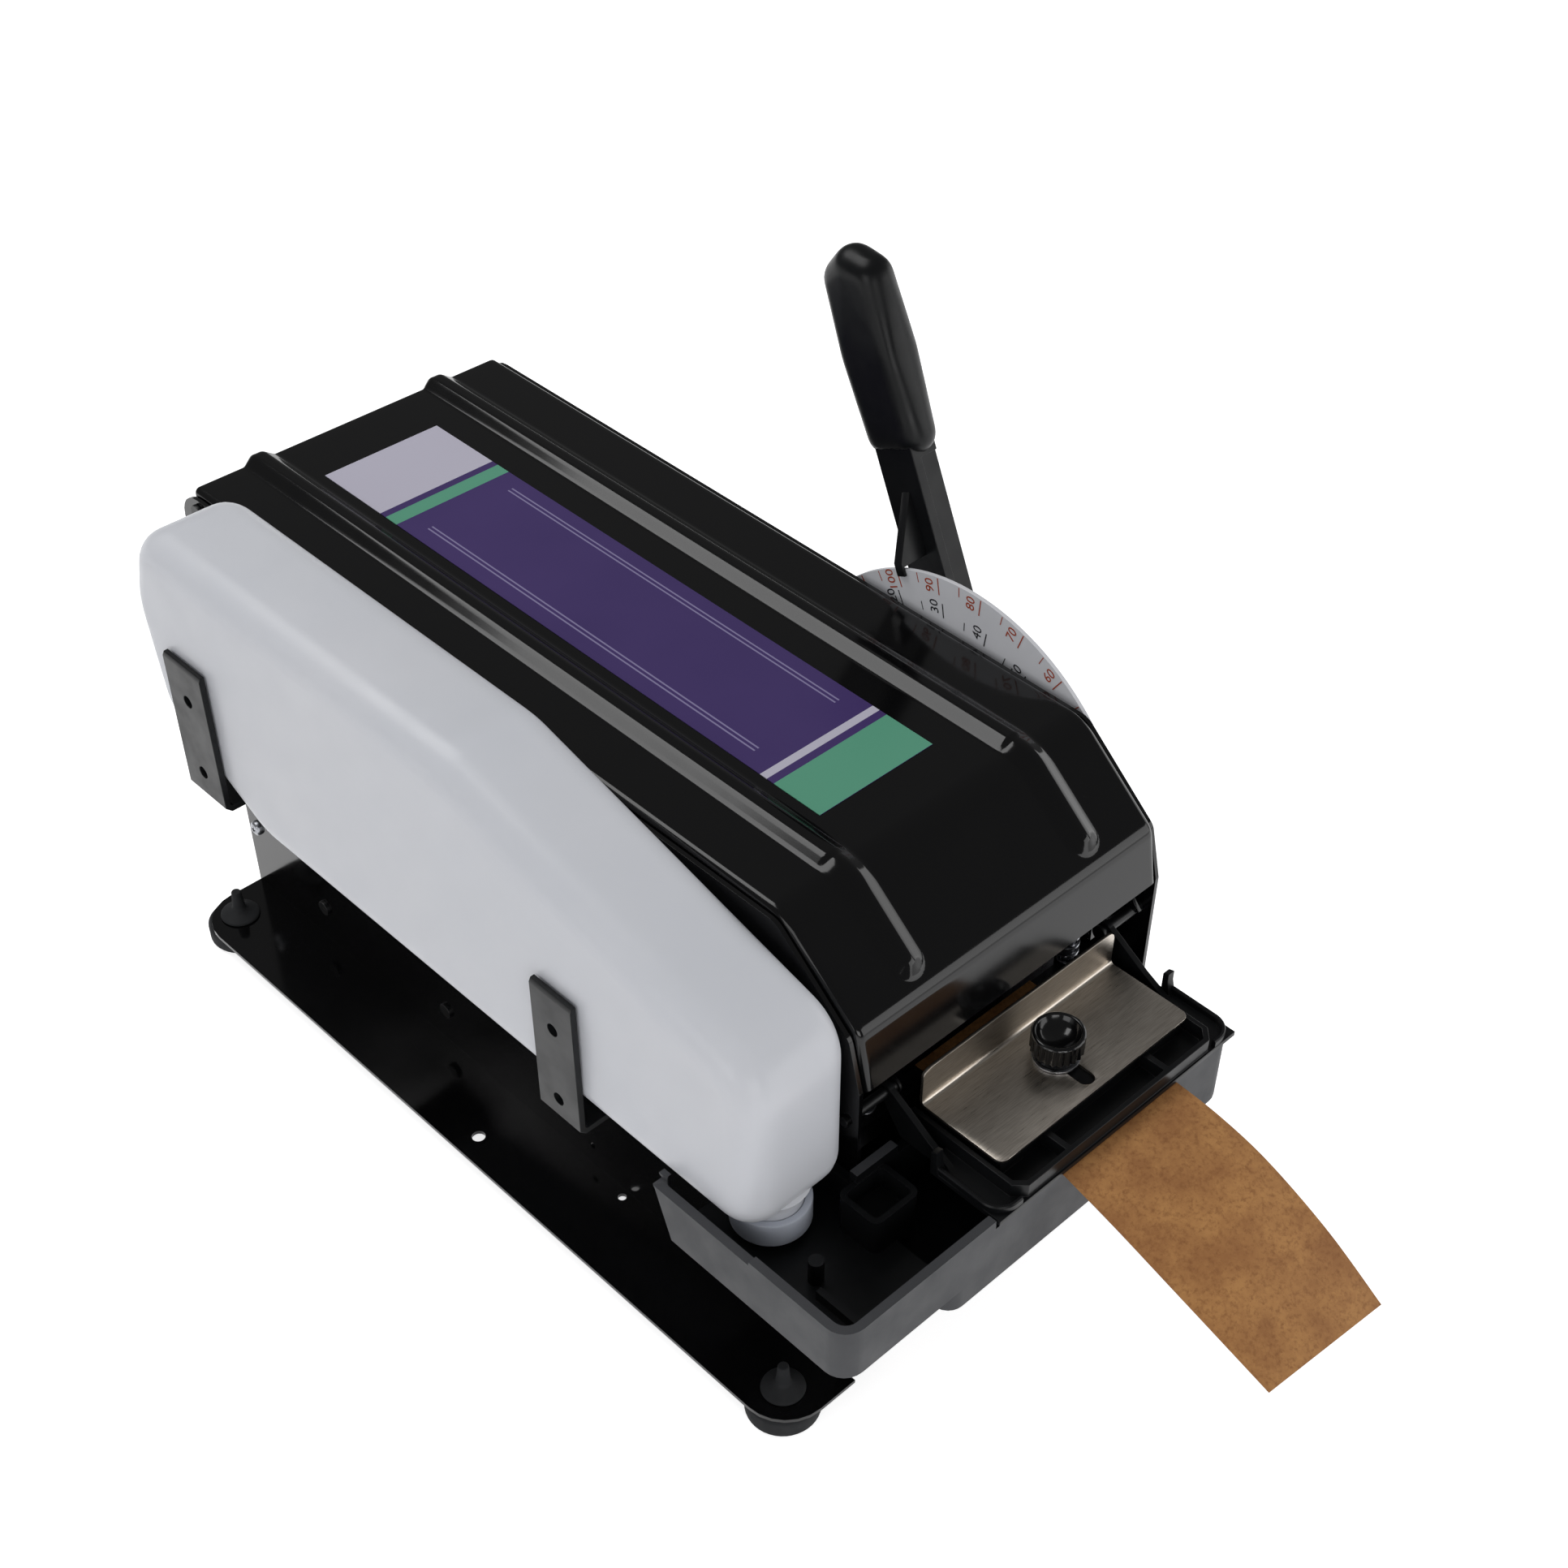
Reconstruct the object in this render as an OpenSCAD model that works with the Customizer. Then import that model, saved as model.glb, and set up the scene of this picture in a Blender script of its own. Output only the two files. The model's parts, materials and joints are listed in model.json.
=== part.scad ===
// Manual gummed tape dispenser with a water bottle, a hand lever and a length dial.
// X runs from the bottle side to the lever side, -Y is the front where the tape comes out, Z is up.
// The origin lies midway between the two bench holes, on the underside of the base flanges.

/* [Frame] */
// Width over the two side walls
frame_w = 178; // [172:1:190]
// Thickness of the frame sheet
sheet_t = 2; // [1.6:0.1:2.4]
// Width of each base flange
flange_w = 40.5; // [38:0.5:46]
// From the bench holes to the rear edge
rear_len = 220.5; // [216:0.5:232]
// From the bench holes to the front edge of the flanges
front_len = 222; // [220:0.5:226]
// Corner radius of the flanges
flange_r = 22; // [16:1:26]
// Diameter of a bench hole
bench_hole_d = 6.4; // [5:0.1:8]
// From the flange's outer edge to the bench hole
bench_hole_inset = 11.8; // [9:0.1:14]

/* [Feet] */
// Diameter of a rubber foot
foot_d = 34; // [28:1:36]
// Height of a foot under the flange
foot_h = 12; // [8:0.5:16]
// Height of the pull-through stem above the flange
foot_stem_h = 16; // [10:1:18]
// Diameter of the stem
foot_stem_d = 6.5; // [5:0.1:8]
// From the flange's outer edge to the foot
foot_inset = 17.5; // [17:0.1:20]
// From the ends of the flange to the feet
foot_end = 17.5; // [17:0.1:24]

/* [Cover] */
// Height of the cover's top above the base
cover_z = 247; // [244:1:256]
// Thickness of the cover sheet
cover_t = 1.2; // [1:0.1:1.6]
// Length of the cover's flat top
cover_top_len = 388.5; // [384:0.5:394]
// Forward run of the slope
slope_run = 41.5; // [38:0.5:44]
// Fall of the slope
slope_fall = 34.5; // [32:0.5:36]
// Height of the front drop
drop_h = 27; // [25:0.5:29]
// Depth of the turned-down sides
cover_side_h = 16; // [12:1:20]
// Width of a pressed rib
rib_w = 17; // [13:1:22]
// Height of a pressed rib
rib_h = 3.6; // [2.5:0.1:4.5]
// From the middle of the cover to a rib
rib_x = 51; // [46:1:56]
// Diameter of the cover's hinge rod
hinge_d = 5; // [4:0.5:6]

/* [Label] */
// Width of the label
label_w = 63.5; // [50:0.5:66]
// Length of the label
label_len = 325; // [280:1:340]
// Thickness of the label
label_t = 0.3; // [0.2:0.1:0.6]

/* [Tape] */
// Width of the gummed tape
tape_w = 70; // [60:1:76]
// Thickness of the tape
tape_t = 0.4; // [0.3:0.05:0.5]
// Height of the tape over the bed
tape_z = 146.4; // [146.4:0.1:146.8]
// Diameter of the tape roll
roll_d = 168; // [120:1:172]
// Bore of the roll's core
core_bore_d = 32; // [30:1:40]
// Wall of the roll's core
core_wall = 4; // [3:0.5:5]
// From the bench holes back to the roll's middle
roll_y = 108; // [104:1:112]
// Length of tape that hangs out of the front
strip_len = 118; // [60:1:140]
// Steepest slope of the hanging tape, in degrees
strip_droop = 30; // [10:1:40]

/* [Water tank] */
// Left side of the tank from the middle
tank_left = 154; // [152:0.5:158]
// Right side of the tank from the middle
tank_right = 74; // [73:0.5:80]
// Front of the tank from the bench holes
tank_front = 279; // [278:0.5:282]
// Rear of the left basin from the bench holes
tank_rear = 172; // [168:0.5:174]
// Height of the tank's rim
tank_rim_z = 149.6; // [149:0.1:150]
// Outside depth of the left basin
basin_depth = 27; // [24:0.5:29]
// Outside depth of the brush trough
trough_depth = 38; // [36:0.5:42]
// Wall of the tank
tank_wall = 4; // [3.5:0.1:4.5]

/* [Bottle] */
// Thickness of the bottle from side to side
bottle_t = 54; // [50:0.5:56]
// Length of the bottle
bottle_len = 397; // [392:1:400]
// Tall height of the bottle
bottle_h = 134; // [128:1:138]
// Low height of the bottle at its front
bottle_front_h = 88; // [80:1:92]
// Height of the bottle's underside above the base
bottle_z = 142; // [141.5:0.5:144]
// Radius of the bottle's edges
bottle_r = 14; // [10:1:16]
// Wall of the bottle
bottle_wall = 1.6; // [1.2:0.1:2.4]
// Outside diameter of the cap
cap_d = 33; // [30:0.5:35]
// Width of the rear strap
rear_strap_w = 28; // [24:1:32]
// Width of the front strap
front_strap_w = 25; // [22:1:30]
// Thickness of a strap
strap_t = 3; // [2.5:0.1:3.5]

/* [Lever and dial] */
// Height of the lever's axle above the base
axle_z = 170.2; // [168:0.2:172]
// From the bench holes forward to the axle
axle_len = 102.3; // [100:0.1:104]
// Radius of the dial
dial_r = 98; // [94:1:99]
// Thickness of the dial
dial_t = 2; // [1.5:0.1:2.4]
// Lean of the lever to the rear, in degrees
lever_lean = 24.3; // [20:0.1:28]
// From the axle to the end of the grip
lever_len = 234; // [220:1:245]
// Width of the lever's bar
lever_w = 23; // [20:0.5:25]
// Thickness of the lever's bar
lever_t = 14.5; // [12:0.5:16]
// Length of the grip
grip_len = 92; // [80:1:105]
// Width of the grip
grip_w = 34; // [30:0.5:38]
// Thickness of the grip
grip_t = 20; // [18:0.5:24]
// Diameter of the lever's shaft
lever_shaft_d = 12; // [10:0.5:13]

/* [Feed and cut] */
// Gear module
gear_m = 1.5; // [1.4:0.02:1.52]
// Radius of the feed roller
feed_r = 23.2; // [22.6:0.1:23.4]
// Diameter of the feed shaft
feed_shaft_d = 8; // [7:0.5:9]
// Diameter of the pressure roller
press_roll_d = 22; // [20:0.5:24]
// Travel of the moving blade
blade_travel = 7; // [5:0.5:8]
// Thickness of the moving blade
blade_t = 2.9; // [2.5:0.1:3]

/* [Press frame] */
// Width over the frame's flanges
press_w = 144.6; // [142:0.2:146]
// Width over the frame's rim
press_rim_w = 120.4; // [119:0.2:124]
// Thickness of the frame's moulded floor
press_t = 2.5; // [2:0.1:2.6]
// Width of the steel plate
plate_w = 114.6; // [110:0.2:116]
// Depth of the steel plate from front to back
plate_d = 44; // [42:0.5:45]
// Height of the plate's upturned edge
plate_up = 19.8; // [15:0.2:20]
// Thickness of the steel plate
plate_t = 1.5; // [1.2:0.1:2]
// Diameter of the knob
knob_d = 22.6; // [20:0.2:24]
// Height of the knob
knob_h = 14; // [11:0.5:15]

/* [Clearances] */
// Radial clearance of a shaft that turns in a hole
run_gap = 0.05; // [0.03:0.01:0.08]
// Gap between pieces that pass or rest close to each other
seat_gap = 0.3; // [0.25:0.01:0.35]

/* [Hidden] */
$fn = 64;

// Frame places
wall_x = frame_w / 2;
wall_in = wall_x - sheet_t;
flange_x = wall_x + flange_w;
rear_y = rear_len;
front_y = -front_len;
foot_x = flange_x - foot_inset;
foot_ys = [front_y + foot_end + 1.5, rear_y - foot_end + 2];
bench_x = flange_x - bench_hole_inset;

// Cover places
cover_half = wall_in - 0.6;
cover_rear_y = rear_y - 6.5;
crease_y = cover_rear_y - cover_top_len;
bend_y = crease_y - slope_run;
bend_z = cover_z - slope_fall;
drop_y = bend_y - 5;
drop_z = bend_z - drop_h;
wall_front = drop_y + 1;
cover_path = [[cover_rear_y, cover_z], [crease_y, cover_z], [bend_y, bend_z], [drop_y, drop_z]];
cover_radii = [0, 12, 9, 0];
hinge_y = cover_rear_y - 8;
hinge_z = cover_z - 9;
slope_a = atan2(slope_fall, slope_run);

// Tape places
tape_lo = tape_z - tape_t / 2;
tape_hi = tape_z + tape_t / 2;
roller_r = 9;
roller_z = 24;
roller_span = 50;
roll_r = roll_d / 2;
roll_z = roller_z + sqrt(pow(roll_r + seat_gap + roller_r, 2) - pow(roller_span, 2));
guide_r = 4;
guide_y = -40;
exit_y = -tank_front - 3;

// Feed train places, in the Y and Z plane
axle = [-axle_len, axle_z];
drive_n = 72;
small_n = 18;
big_n = 56;
pinion_n = 16;
feed_y = -166;
feed_c = [feed_y, tape_lo - seat_gap - feed_r];
press_c = [feed_y, tape_hi + seat_gap + press_roll_d / 2];
reach_a = gear_m * (drive_n + small_n) / 2;
reach_b = gear_m * (big_n + pinion_n) / 2;
feed_gap = norm(feed_c - axle);
feed_u = (feed_c - axle) / feed_gap;
along = (reach_a * reach_a - reach_b * reach_b + feed_gap * feed_gap) / (2 * feed_gap);
aside = sqrt(reach_a * reach_a - along * along);
idler_c = axle + along * feed_u + aside * [-feed_u[1], feed_u[0]];
mesh_a = atan2(idler_c[1] - axle[1], idler_c[0] - axle[0]);
mesh_b = atan2(feed_c[1] - idler_c[1], feed_c[0] - idler_c[0]);
lever_back = 38.5;
lever_fwd = 61.5;
lever_a = 90 - lever_lean;
drive_x = 60;
big_x = 69;
gear_w = 7;

// Blade places
blade_y = -196;
sill_z = [128, 140];
carrier_z = [176, 188];
bridge_z = [198.5, 204];
rod_x = 62;
rod_r = 3;
blade_rest_z = 150;
blade_lo_y = blade_y - 0.2 - blade_t;
rod_y = blade_y - 0.2 - blade_t / 2;
rocker_c = [-152, 203];

// Dial and lever places
dial_x = wall_x + 2.5;
lever_x = dial_x + dial_t + 11.5;

// Press frame places
press_front = -tank_front - 1.2;
press_lo = tape_hi + 0.4;
press_hi = press_lo + press_t;
rim_z = press_hi + 6.8;
plate_front = press_front + 13.6;
plate_back = plate_front + plate_d;
deck_z = rim_z + 1.8;
plate_hi = deck_z + plate_t;
knob_y = plate_front + 23;
pivot = [-213, 166];
pivot_r = 2.5;
arm_x = 64.5;
arm_t = 3;

// Bottle and tank places
bottle_x = wall_x + 3;
bottle_out = bottle_x + bottle_t;
bottle_front = -221;
bottle_rear = bottle_front + bottle_len;
cap_c = [-(bottle_x + bottle_t / 2) - 2, bottle_front + 16];
cap_lo = tank_rim_z - basin_depth + tank_wall + 3;
straps = [[bottle_front + 109.5, front_strap_w, bottle_z - 12, bottle_z + 61],
    [bottle_rear - 42, rear_strap_w, bottle_z + 5, bottle_z + 81]];
trough_x = 97;
trough_back = tank_front - 56.5;

// The ray from a centre at an angle, in the Y and Z plane
function polar(c, r, a) = c + r * [cos(a), sin(a)];
function unit(v) = v / norm(v);
// Points of the arc that rounds corner b of a, b, c
function corner_arc(a, b, c, r, n = 6) =
    r <= 0 ? [b] :
    let (u = unit(a - b), v = unit(c - b), half = acos(u * v) / 2, m = b + unit(u + v) * r / sin(half))
    let (p = b + u * r / tan(half) - m, q = b + v * r / tan(half) - m)
    let (a0 = atan2(p[1], p[0]), sweep = (atan2(q[1], q[0]) - a0 + 540) % 360 - 180)
    [for (i = [0:n]) polar(m, r, a0 + sweep * i / n)];
// A closed outline with its corners rounded, each by its own radius
function round_outline(pts, radii) =
    let (n = len(pts))
    [for (i = [0:n - 1]) each corner_arc(pts[(i + n - 1) % n], pts[i], pts[(i + 1) % n], radii[i])];
// An open path with its inner corners rounded
function round_path(pts, radii) =
    let (n = len(pts))
    [for (i = [0:n - 1]) each (i == 0 || i == n - 1) ? [pts[i]]
        : corner_arc(pts[i - 1], pts[i], pts[i + 1], radii[i])];
// The left-hand normal of an open path at point i
function path_normal(p, i) =
    let (n = len(p), t = unit(p[min(i + 1, n - 1)] - p[max(i - 1, 0)]))
    [-t[1], t[0]];
// A closed strip from an open path to the path shifted to its left by d
function strip_outline(p, d) =
    concat(p, [for (i = [len(p) - 1:-1:0]) p[i] + d * path_normal(p, i)]);
// Shift of an open path to its left, with mitred corners
function shift_path(p, d) =
    [for (i = [0:len(p) - 1])
        let (a = unit(p[i] - p[max(i - 1, 0)] + (i == 0 ? p[1] - p[0] : [0, 0])))
        let (b = i == len(p) - 1 ? a : unit(p[i + 1] - p[i]))
        let (na = [-a[1], a[0]], nb = [-b[1], b[0]])
        p[i] + d * (na + nb) / (1 + na * nb)];

// A flat outline in Y and Z, made into a plate from x0 to x1
module plate_x(x0, x1) {
    translate([x0, 0, 0]) rotate([90, 0, 90]) linear_extrude(x1 - x0) children();
}
// A round bar along X
module bar_x(x0, x1, c, r) {
    translate([x0, c[0], c[1]]) rotate([0, 90, 0]) cylinder(h = x1 - x0, r = r);
}
// A round bar along Z
module bar_z(p, z0, z1, r) {
    translate([p[0], p[1], z0]) cylinder(h = z1 - z0, r = r);
}
// A box between two corners
module block(lo, hi) {
    translate(lo) cube(hi - lo);
}
module mirrored() {
    children();
    mirror([1, 0, 0]) children();
}
// A flat link with round ends between two points
module link_2d(a, b, r) {
    u = unit(b - a);
    n = r * [-u[1], u[0]];
    translate(a) circle(r);
    translate(b) circle(r);
    polygon([a + n, b + n, b - n, a - n]);
}
// Involute tooth flanks of gears with backlash
function flank(rb, r, half, a0) =
    let (t = sqrt(max(r * r / (rb * rb) - 1, 0)), inv = t * 180 / PI - atan(t))
    half + a0 - inv;
module gear_2d(n, bore, phase, from = 0, to = -1) {
    last = to < 0 ? n - 1 : to;
    pitch = gear_m * n / 2;
    base = pitch * cos(20);
    tip = pitch + 0.85 * gear_m;
    root = pitch - 1.15 * gear_m;
    t_pitch = tan(20);
    inv_pitch = t_pitch * 180 / PI - 20;
    half = 360 / n / 4 * 0.84;
    low = max(base, root);
    steps = [low, pitch, tip];
    outline = [for (k = [from:last]) let (a = phase + k * 360 / n) each concat(
        [polar([0, 0], root, a - 360 / n * 0.36)],
        [for (r = steps) polar([0, 0], r, a - flank(base, r, half, inv_pitch))],
        [for (i = [2:-1:0]) polar([0, 0], steps[i], a + flank(base, steps[i], half, inv_pitch))],
        [polar([0, 0], root, a + 360 / n * 0.36)])];
    difference() {
        polygon(to < 0 ? outline : concat(outline, [[0, 0]]));
        circle(bore);
    }
}

// ---- Frame ----
wall_top = cover_z - 2.5;
wall_outline = round_outline(
    [[rear_y, 0], [rear_y, wall_top], [crease_y + 1, wall_top], [bend_y + 2.5, bend_z - 2],
     [wall_front, drop_z], [wall_front, tape_z - 22], [wall_front + 19, tape_z - 60], [front_y + 8, 0]],
    [0, 14, 10, 8, 4, 6, 20, 0]);
wall_holes = [[hinge_y, hinge_z, hinge_d / 2 + run_gap], [pivot[0], pivot[1], pivot_r + run_gap]];
module side_wall() {
    difference() {
        union() {
            plate_x(wall_in, wall_x) polygon(wall_outline);
            linear_extrude(sheet_t) polygon(round_outline(
                [[wall_in, front_y], [flange_x, front_y], [flange_x, rear_y], [wall_in, rear_y]],
                [0, flange_r, flange_r, 0]));
        }
        for (h = wall_holes) bar_x(wall_in - 1, wall_x + 1, [h[0], h[1]], h[2]);
        for (s = [-1, 1]) bar_x(wall_in - 1, wall_x + 1, [roll_y + s * roller_span, roller_z], 4);
        for (y = foot_ys) bar_z([foot_x, y], -1, sheet_t + 1, foot_stem_d / 2);
        bar_z([bench_x, 0], -1, sheet_t + 1, bench_hole_d / 2);
        bar_x(wall_in - 1, wall_x + 1, feed_c, bush_r);
        bar_x(wall_in - 1, wall_x + 1, [-50, 14.5], 2);
        bar_z([wall_x + 4, -75], -1, sheet_t + 1, 2);
    }
}
bush_r = feed_shaft_d / 2 + 3;
lever_bush_r = lever_shaft_d / 2 + 3;
idler_r = 4;
module left_frame() {
    color("#17181a") mirror([1, 0, 0]) side_wall();
}
module right_frame() {
    color("#17181a") difference() {
        side_wall();
        bar_x(wall_in - 1, wall_x + 1, axle, lever_bush_r);
        bar_x(wall_in - 1, wall_x + 1, idler_c, idler_r);
        bar_x(wall_in - 1, wall_x + 1, rocker_c, 3);
        for (p = spacer_places) bar_x(wall_in - 1, wall_x + 1, p, 2);
    }
}
module base_pan() {
    color("#1b1c1e") block([-wall_in, front_y + 40, 0], [wall_in, rear_y, sheet_t]);
}
rear_panel_z = cover_z - 25;
module rear_panel() {
    color("#17181a") block([-wall_in, rear_y - 4 - sheet_t, sheet_t], [wall_in, rear_y - 4, rear_panel_z]);
}
front_panel_y = -208.5;
module front_panel() {
    half = cover_half - cover_t - 0.5;
    color("#232427") {
        block([-half, front_panel_y, drop_z - 4], [half, front_panel_y + 1.5, drop_z + 20]);
        mirrored() block([arm_x - 2.5, front_panel_y, 158], [wall_in, front_panel_y + 1.5, drop_z - 4]);
        // Catch tab
        plate_x(79, 81) polygon([[front_panel_y, pivot[1] + 13], [front_panel_y - 4, pivot[1] + 12.5],
            [front_panel_y - 11, pivot[1] + 5], [front_panel_y - 9, pivot[1] + 3.5],
            [front_panel_y, pivot[1] + 6.5]]);
    }
}
shelf_z = tank_rim_z - trough_depth - seat_gap;
shelf_front = -tank_front + 17;
shelf_back = feed_y - feed_r - 1.8;
module tank_shelf() {
    color("#17181a") difference() {
        union() {
            block([-wall_in, shelf_front, shelf_z - sheet_t], [60, shelf_back, shelf_z]);
            block([-wall_in, shelf_back - sheet_t, shelf_z - 30], [wall_in, shelf_back, shelf_z]);
            block([60, wall_front + 1, shelf_z - sheet_t], [wall_in, shelf_back, shelf_z]);
        }
        block([-wall_in - 1, shelf_front - 1, shelf_z - sheet_t - 1], [-60, wall_front + 1, shelf_z + 1]);
    }
}
module rubber_feet() {
    color("#222326") for (s = [-1, 1]) for (y = foot_ys) translate([s * foot_x, y, 0]) rotate_extrude()
        polygon([[0, -foot_h], [foot_d / 2 - 2, -foot_h], [foot_d / 2, -foot_h + 2], [foot_d / 2, -2],
            [foot_d / 2 - 1.5, 0], [foot_stem_d / 2, 0], [foot_stem_d / 2, sheet_t], [10, sheet_t],
            [10, sheet_t + 1.5], [foot_stem_d / 2 + 1, sheet_t + 4.5], [foot_stem_d / 2, sheet_t + 6],
            [foot_stem_d / 2 - 0.8, sheet_t + foot_stem_h], [0, sheet_t + foot_stem_h]]);
}
module frame_screws() {
    color("#b9bbc0") mirrored() {
        for (p = [[rear_y - 8, 43], [rear_y - 8, 150]]) {
            bar_x(wall_x, wall_x + 2.6, p, 4);
        }
    }
}

// ---- Tape roll and its basket ----
guide_in = tape_w / 2 + 1.5;
module roll_guides() {
    color("#1d1e20") mirrored() difference() {
        union() {
            plate_x(guide_in, guide_in + 1.5) polygon(round_outline(
                [[roll_y - 70, sheet_t], [roll_y + 70, sheet_t], [roll_y + 70, 70], [roll_y - 70, 70]],
                [0, 0, 20, 20]));
            block([guide_in, roll_y - 70, sheet_t], [guide_in + 14, roll_y + 70, sheet_t + 1.5]);
        }
        for (s = [-1, 1]) bar_x(guide_in - 1, guide_in + 3, [roll_y + s * roller_span, roller_z], 4);
    }
}
module basket_axles() {
    color("#a9abb0") for (s = [-1, 1])
        bar_x(-wall_x - 1.5, wall_x + 1.5, [roll_y + s * roller_span, roller_z], 4);
}
module basket_roller(s) {
    color("#8d9096") difference() {
        bar_x(-tape_w / 2, tape_w / 2, [roll_y + s * roller_span, roller_z], roller_r);
        bar_x(-tape_w, tape_w, [roll_y + s * roller_span, roller_z], 4 + run_gap);
    }
}
module basket_roller_front() {
    basket_roller(-1);
}
module basket_roller_rear() {
    basket_roller(1);
}
core_r = core_bore_d / 2 + core_wall;
module roll_core() {
    color("#b59468") difference() {
        bar_x(-tape_w / 2, tape_w / 2, [roll_y, roll_z], core_r);
        bar_x(-tape_w, tape_w, [roll_y, roll_z], core_bore_d / 2);
    }
}
module tape_roll() {
    color("#a9763f") difference() {
        bar_x(-tape_w / 2, tape_w / 2, [roll_y, roll_z], roll_r);
        bar_x(-tape_w, tape_w, [roll_y, roll_z], core_r);
    }
}
// The web leaves the roll where a line from the guide rod touches it
web_r = roll_r + seat_gap + tape_t / 2;
web_far = [roll_y - guide_y, roll_z - tape_z];
web_a = atan2(web_far[1], web_far[0]) + asin(web_r / norm(web_far));
web_off = [guide_y, tape_z] + sqrt(web_far * web_far - web_r * web_r) * [cos(web_a), sin(web_a)];
web_end = blade_y + 0.2;
module tape_web() {
    path = round_path([web_off, [guide_y, tape_z], [web_end, tape_z]], [0, 12, 0]);
    color("#a9763f") plate_x(-tape_w / 2, tape_w / 2) polygon(strip_outline(path, tape_t));
}
strip_start = blade_lo_y - 0.3;
// The free tape bends down steadily and ends in a straight run
strip_steps = 12;
function droop_at(i) = strip_droop * min(i / (strip_steps * 0.7), 1);
function droop_path(i) =
    i == 0 ? [exit_y, tape_z]
           : droop_path(i - 1) - strip_len / strip_steps * [cos(droop_at(i)), sin(droop_at(i))];
module tape_strip() {
    path = concat([[strip_start, tape_z]], [for (i = [0:strip_steps]) droop_path(i)]);
    color("#a9763f") plate_x(-tape_w / 2, tape_w / 2) polygon(strip_outline(path, tape_t));
}
module guide_rods() {
    color("#a9abb0") {
        bar_x(-wall_in, wall_in, [guide_y + 3, tape_lo - seat_gap - guide_r], guide_r);
        bar_x(-wall_in, wall_in, [bed_back - 4, bed_lo - guide_r], guide_r);
    }
}
bed_t = 1.5;
bed_hi = tape_lo - seat_gap;
bed_lo = bed_hi - bed_t;
bed_back = -45;
bed_end = blade_y + 3.3;
arm_pin = [-128, 181];
rail_x = tape_w / 2 + 3;
module tape_bed() {
    color("#8d9096") difference() {
        union() {
            block([-rail_x - 1.5, bed_end, bed_lo], [rail_x + 1.5, bed_back, bed_hi]);
            mirrored() plate_x(rail_x, rail_x + 1.5) polygon(round_outline(
                [[bed_end, bed_lo], [bed_back, bed_lo], [bed_back, bed_hi + 6], [-112, bed_hi + 8],
                 [-118, arm_pin[1] + 9], [-138, arm_pin[1] + 9], [-150, bed_hi + 8], [bed_end, bed_hi + 6]],
                [0, 0, 3, 8, 6, 6, 8, 3]));
        }
        block([-tape_w / 2, feed_y - feed_r, bed_lo - 1], [tape_w / 2, feed_y + feed_r, bed_hi + 1]);
        bar_x(-rail_x - 3, rail_x + 3, arm_pin, 3);
    }
    color("#8d9096") block([-rail_x, bed_end, bed_hi - 15], [rail_x, bed_end + 1.5, bed_lo]);
}

// ---- Cutter ----
module lower_blade() {
    color("#9a9da3") block([-rod_x + 7, blade_y, sill_z[0]], [rod_x - 7, blade_y + 3, tape_lo - seat_gap]);
}
sill_y = blade_y - 9;
// The sill under the tape and the bridge over it, both from wall to wall
module cutter_bars() {
    color("#1d1e20") for (z = [sill_z, bridge_z]) difference() {
        block([-wall_in, sill_y, z[0]], [wall_in, blade_y, z[1]]);
        mirrored() bar_z([rod_x, rod_y], 0, 300, rod_r);
    }
}
module blade_rods() {
    color("#a9abb0") mirrored() bar_z([rod_x, rod_y], sill_z[0], bridge_z[1], rod_r);
}
module upper_blade() {
    color("#c2c4c8") block([-tape_w / 2 - 4, blade_lo_y, blade_rest_z],
        [tape_w / 2 + 4, blade_lo_y + blade_t, carrier_z[0]]);
}
module blade_carrier() {
    color("#2a2b2e") difference() {
        block([-rod_x - 9, rod_y - 5, carrier_z[0]], [rod_x + 9, rod_y + 5, carrier_z[1]]);
        mirrored() bar_z([rod_x, rod_y], 0, 300, rod_r + run_gap);
    }
}
module blade_springs() {
    color("#8d9096") mirrored() difference() {
        bar_z([rod_x, rod_y], sill_z[1], carrier_z[0], rod_r + 2);
        bar_z([rod_x, rod_y], 0, 300, rod_r + 0.4);
    }
}
rocker_x = 48;
module cut_rocker() {
    color("#9a9da3") difference() {
        plate_x(rocker_x, rocker_x + 5) polygon(round_outline(
            [[rod_y - 2, carrier_z[1] + seat_gap], [rod_y + 2, carrier_z[1] + seat_gap],
             [rocker_c[0] - 4, rocker_c[1] - 8], [rocker_c[0] + 6, rocker_c[1] - 8],
             [axle[0] - 4, cam_top + 0.8], [axle[0] + 4, cam_top + 0.8], [axle[0] + 4, cam_top + 7],
             [rocker_c[0] + 6, rocker_c[1] + 7], [rocker_c[0] - 6, rocker_c[1] + 7],
             [rod_y - 2, carrier_z[1] + 7]],
            [1, 1, 8, 8, 2, 2, 2, 6, 6, 1]));
        bar_x(rocker_x - 1, rocker_x + 6, rocker_c, 3 + run_gap);
    }
}
module rocker_pin() {
    color("#a9abb0") {
        bar_x(rocker_x - 2, wall_x + 1, rocker_c, 3);
        bar_x(rocker_x - 3.5, rocker_x - 0.5, rocker_c, 5);
        bar_x(rocker_x + 5.5, rocker_x + 9, rocker_c, 5);
    }
}

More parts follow.
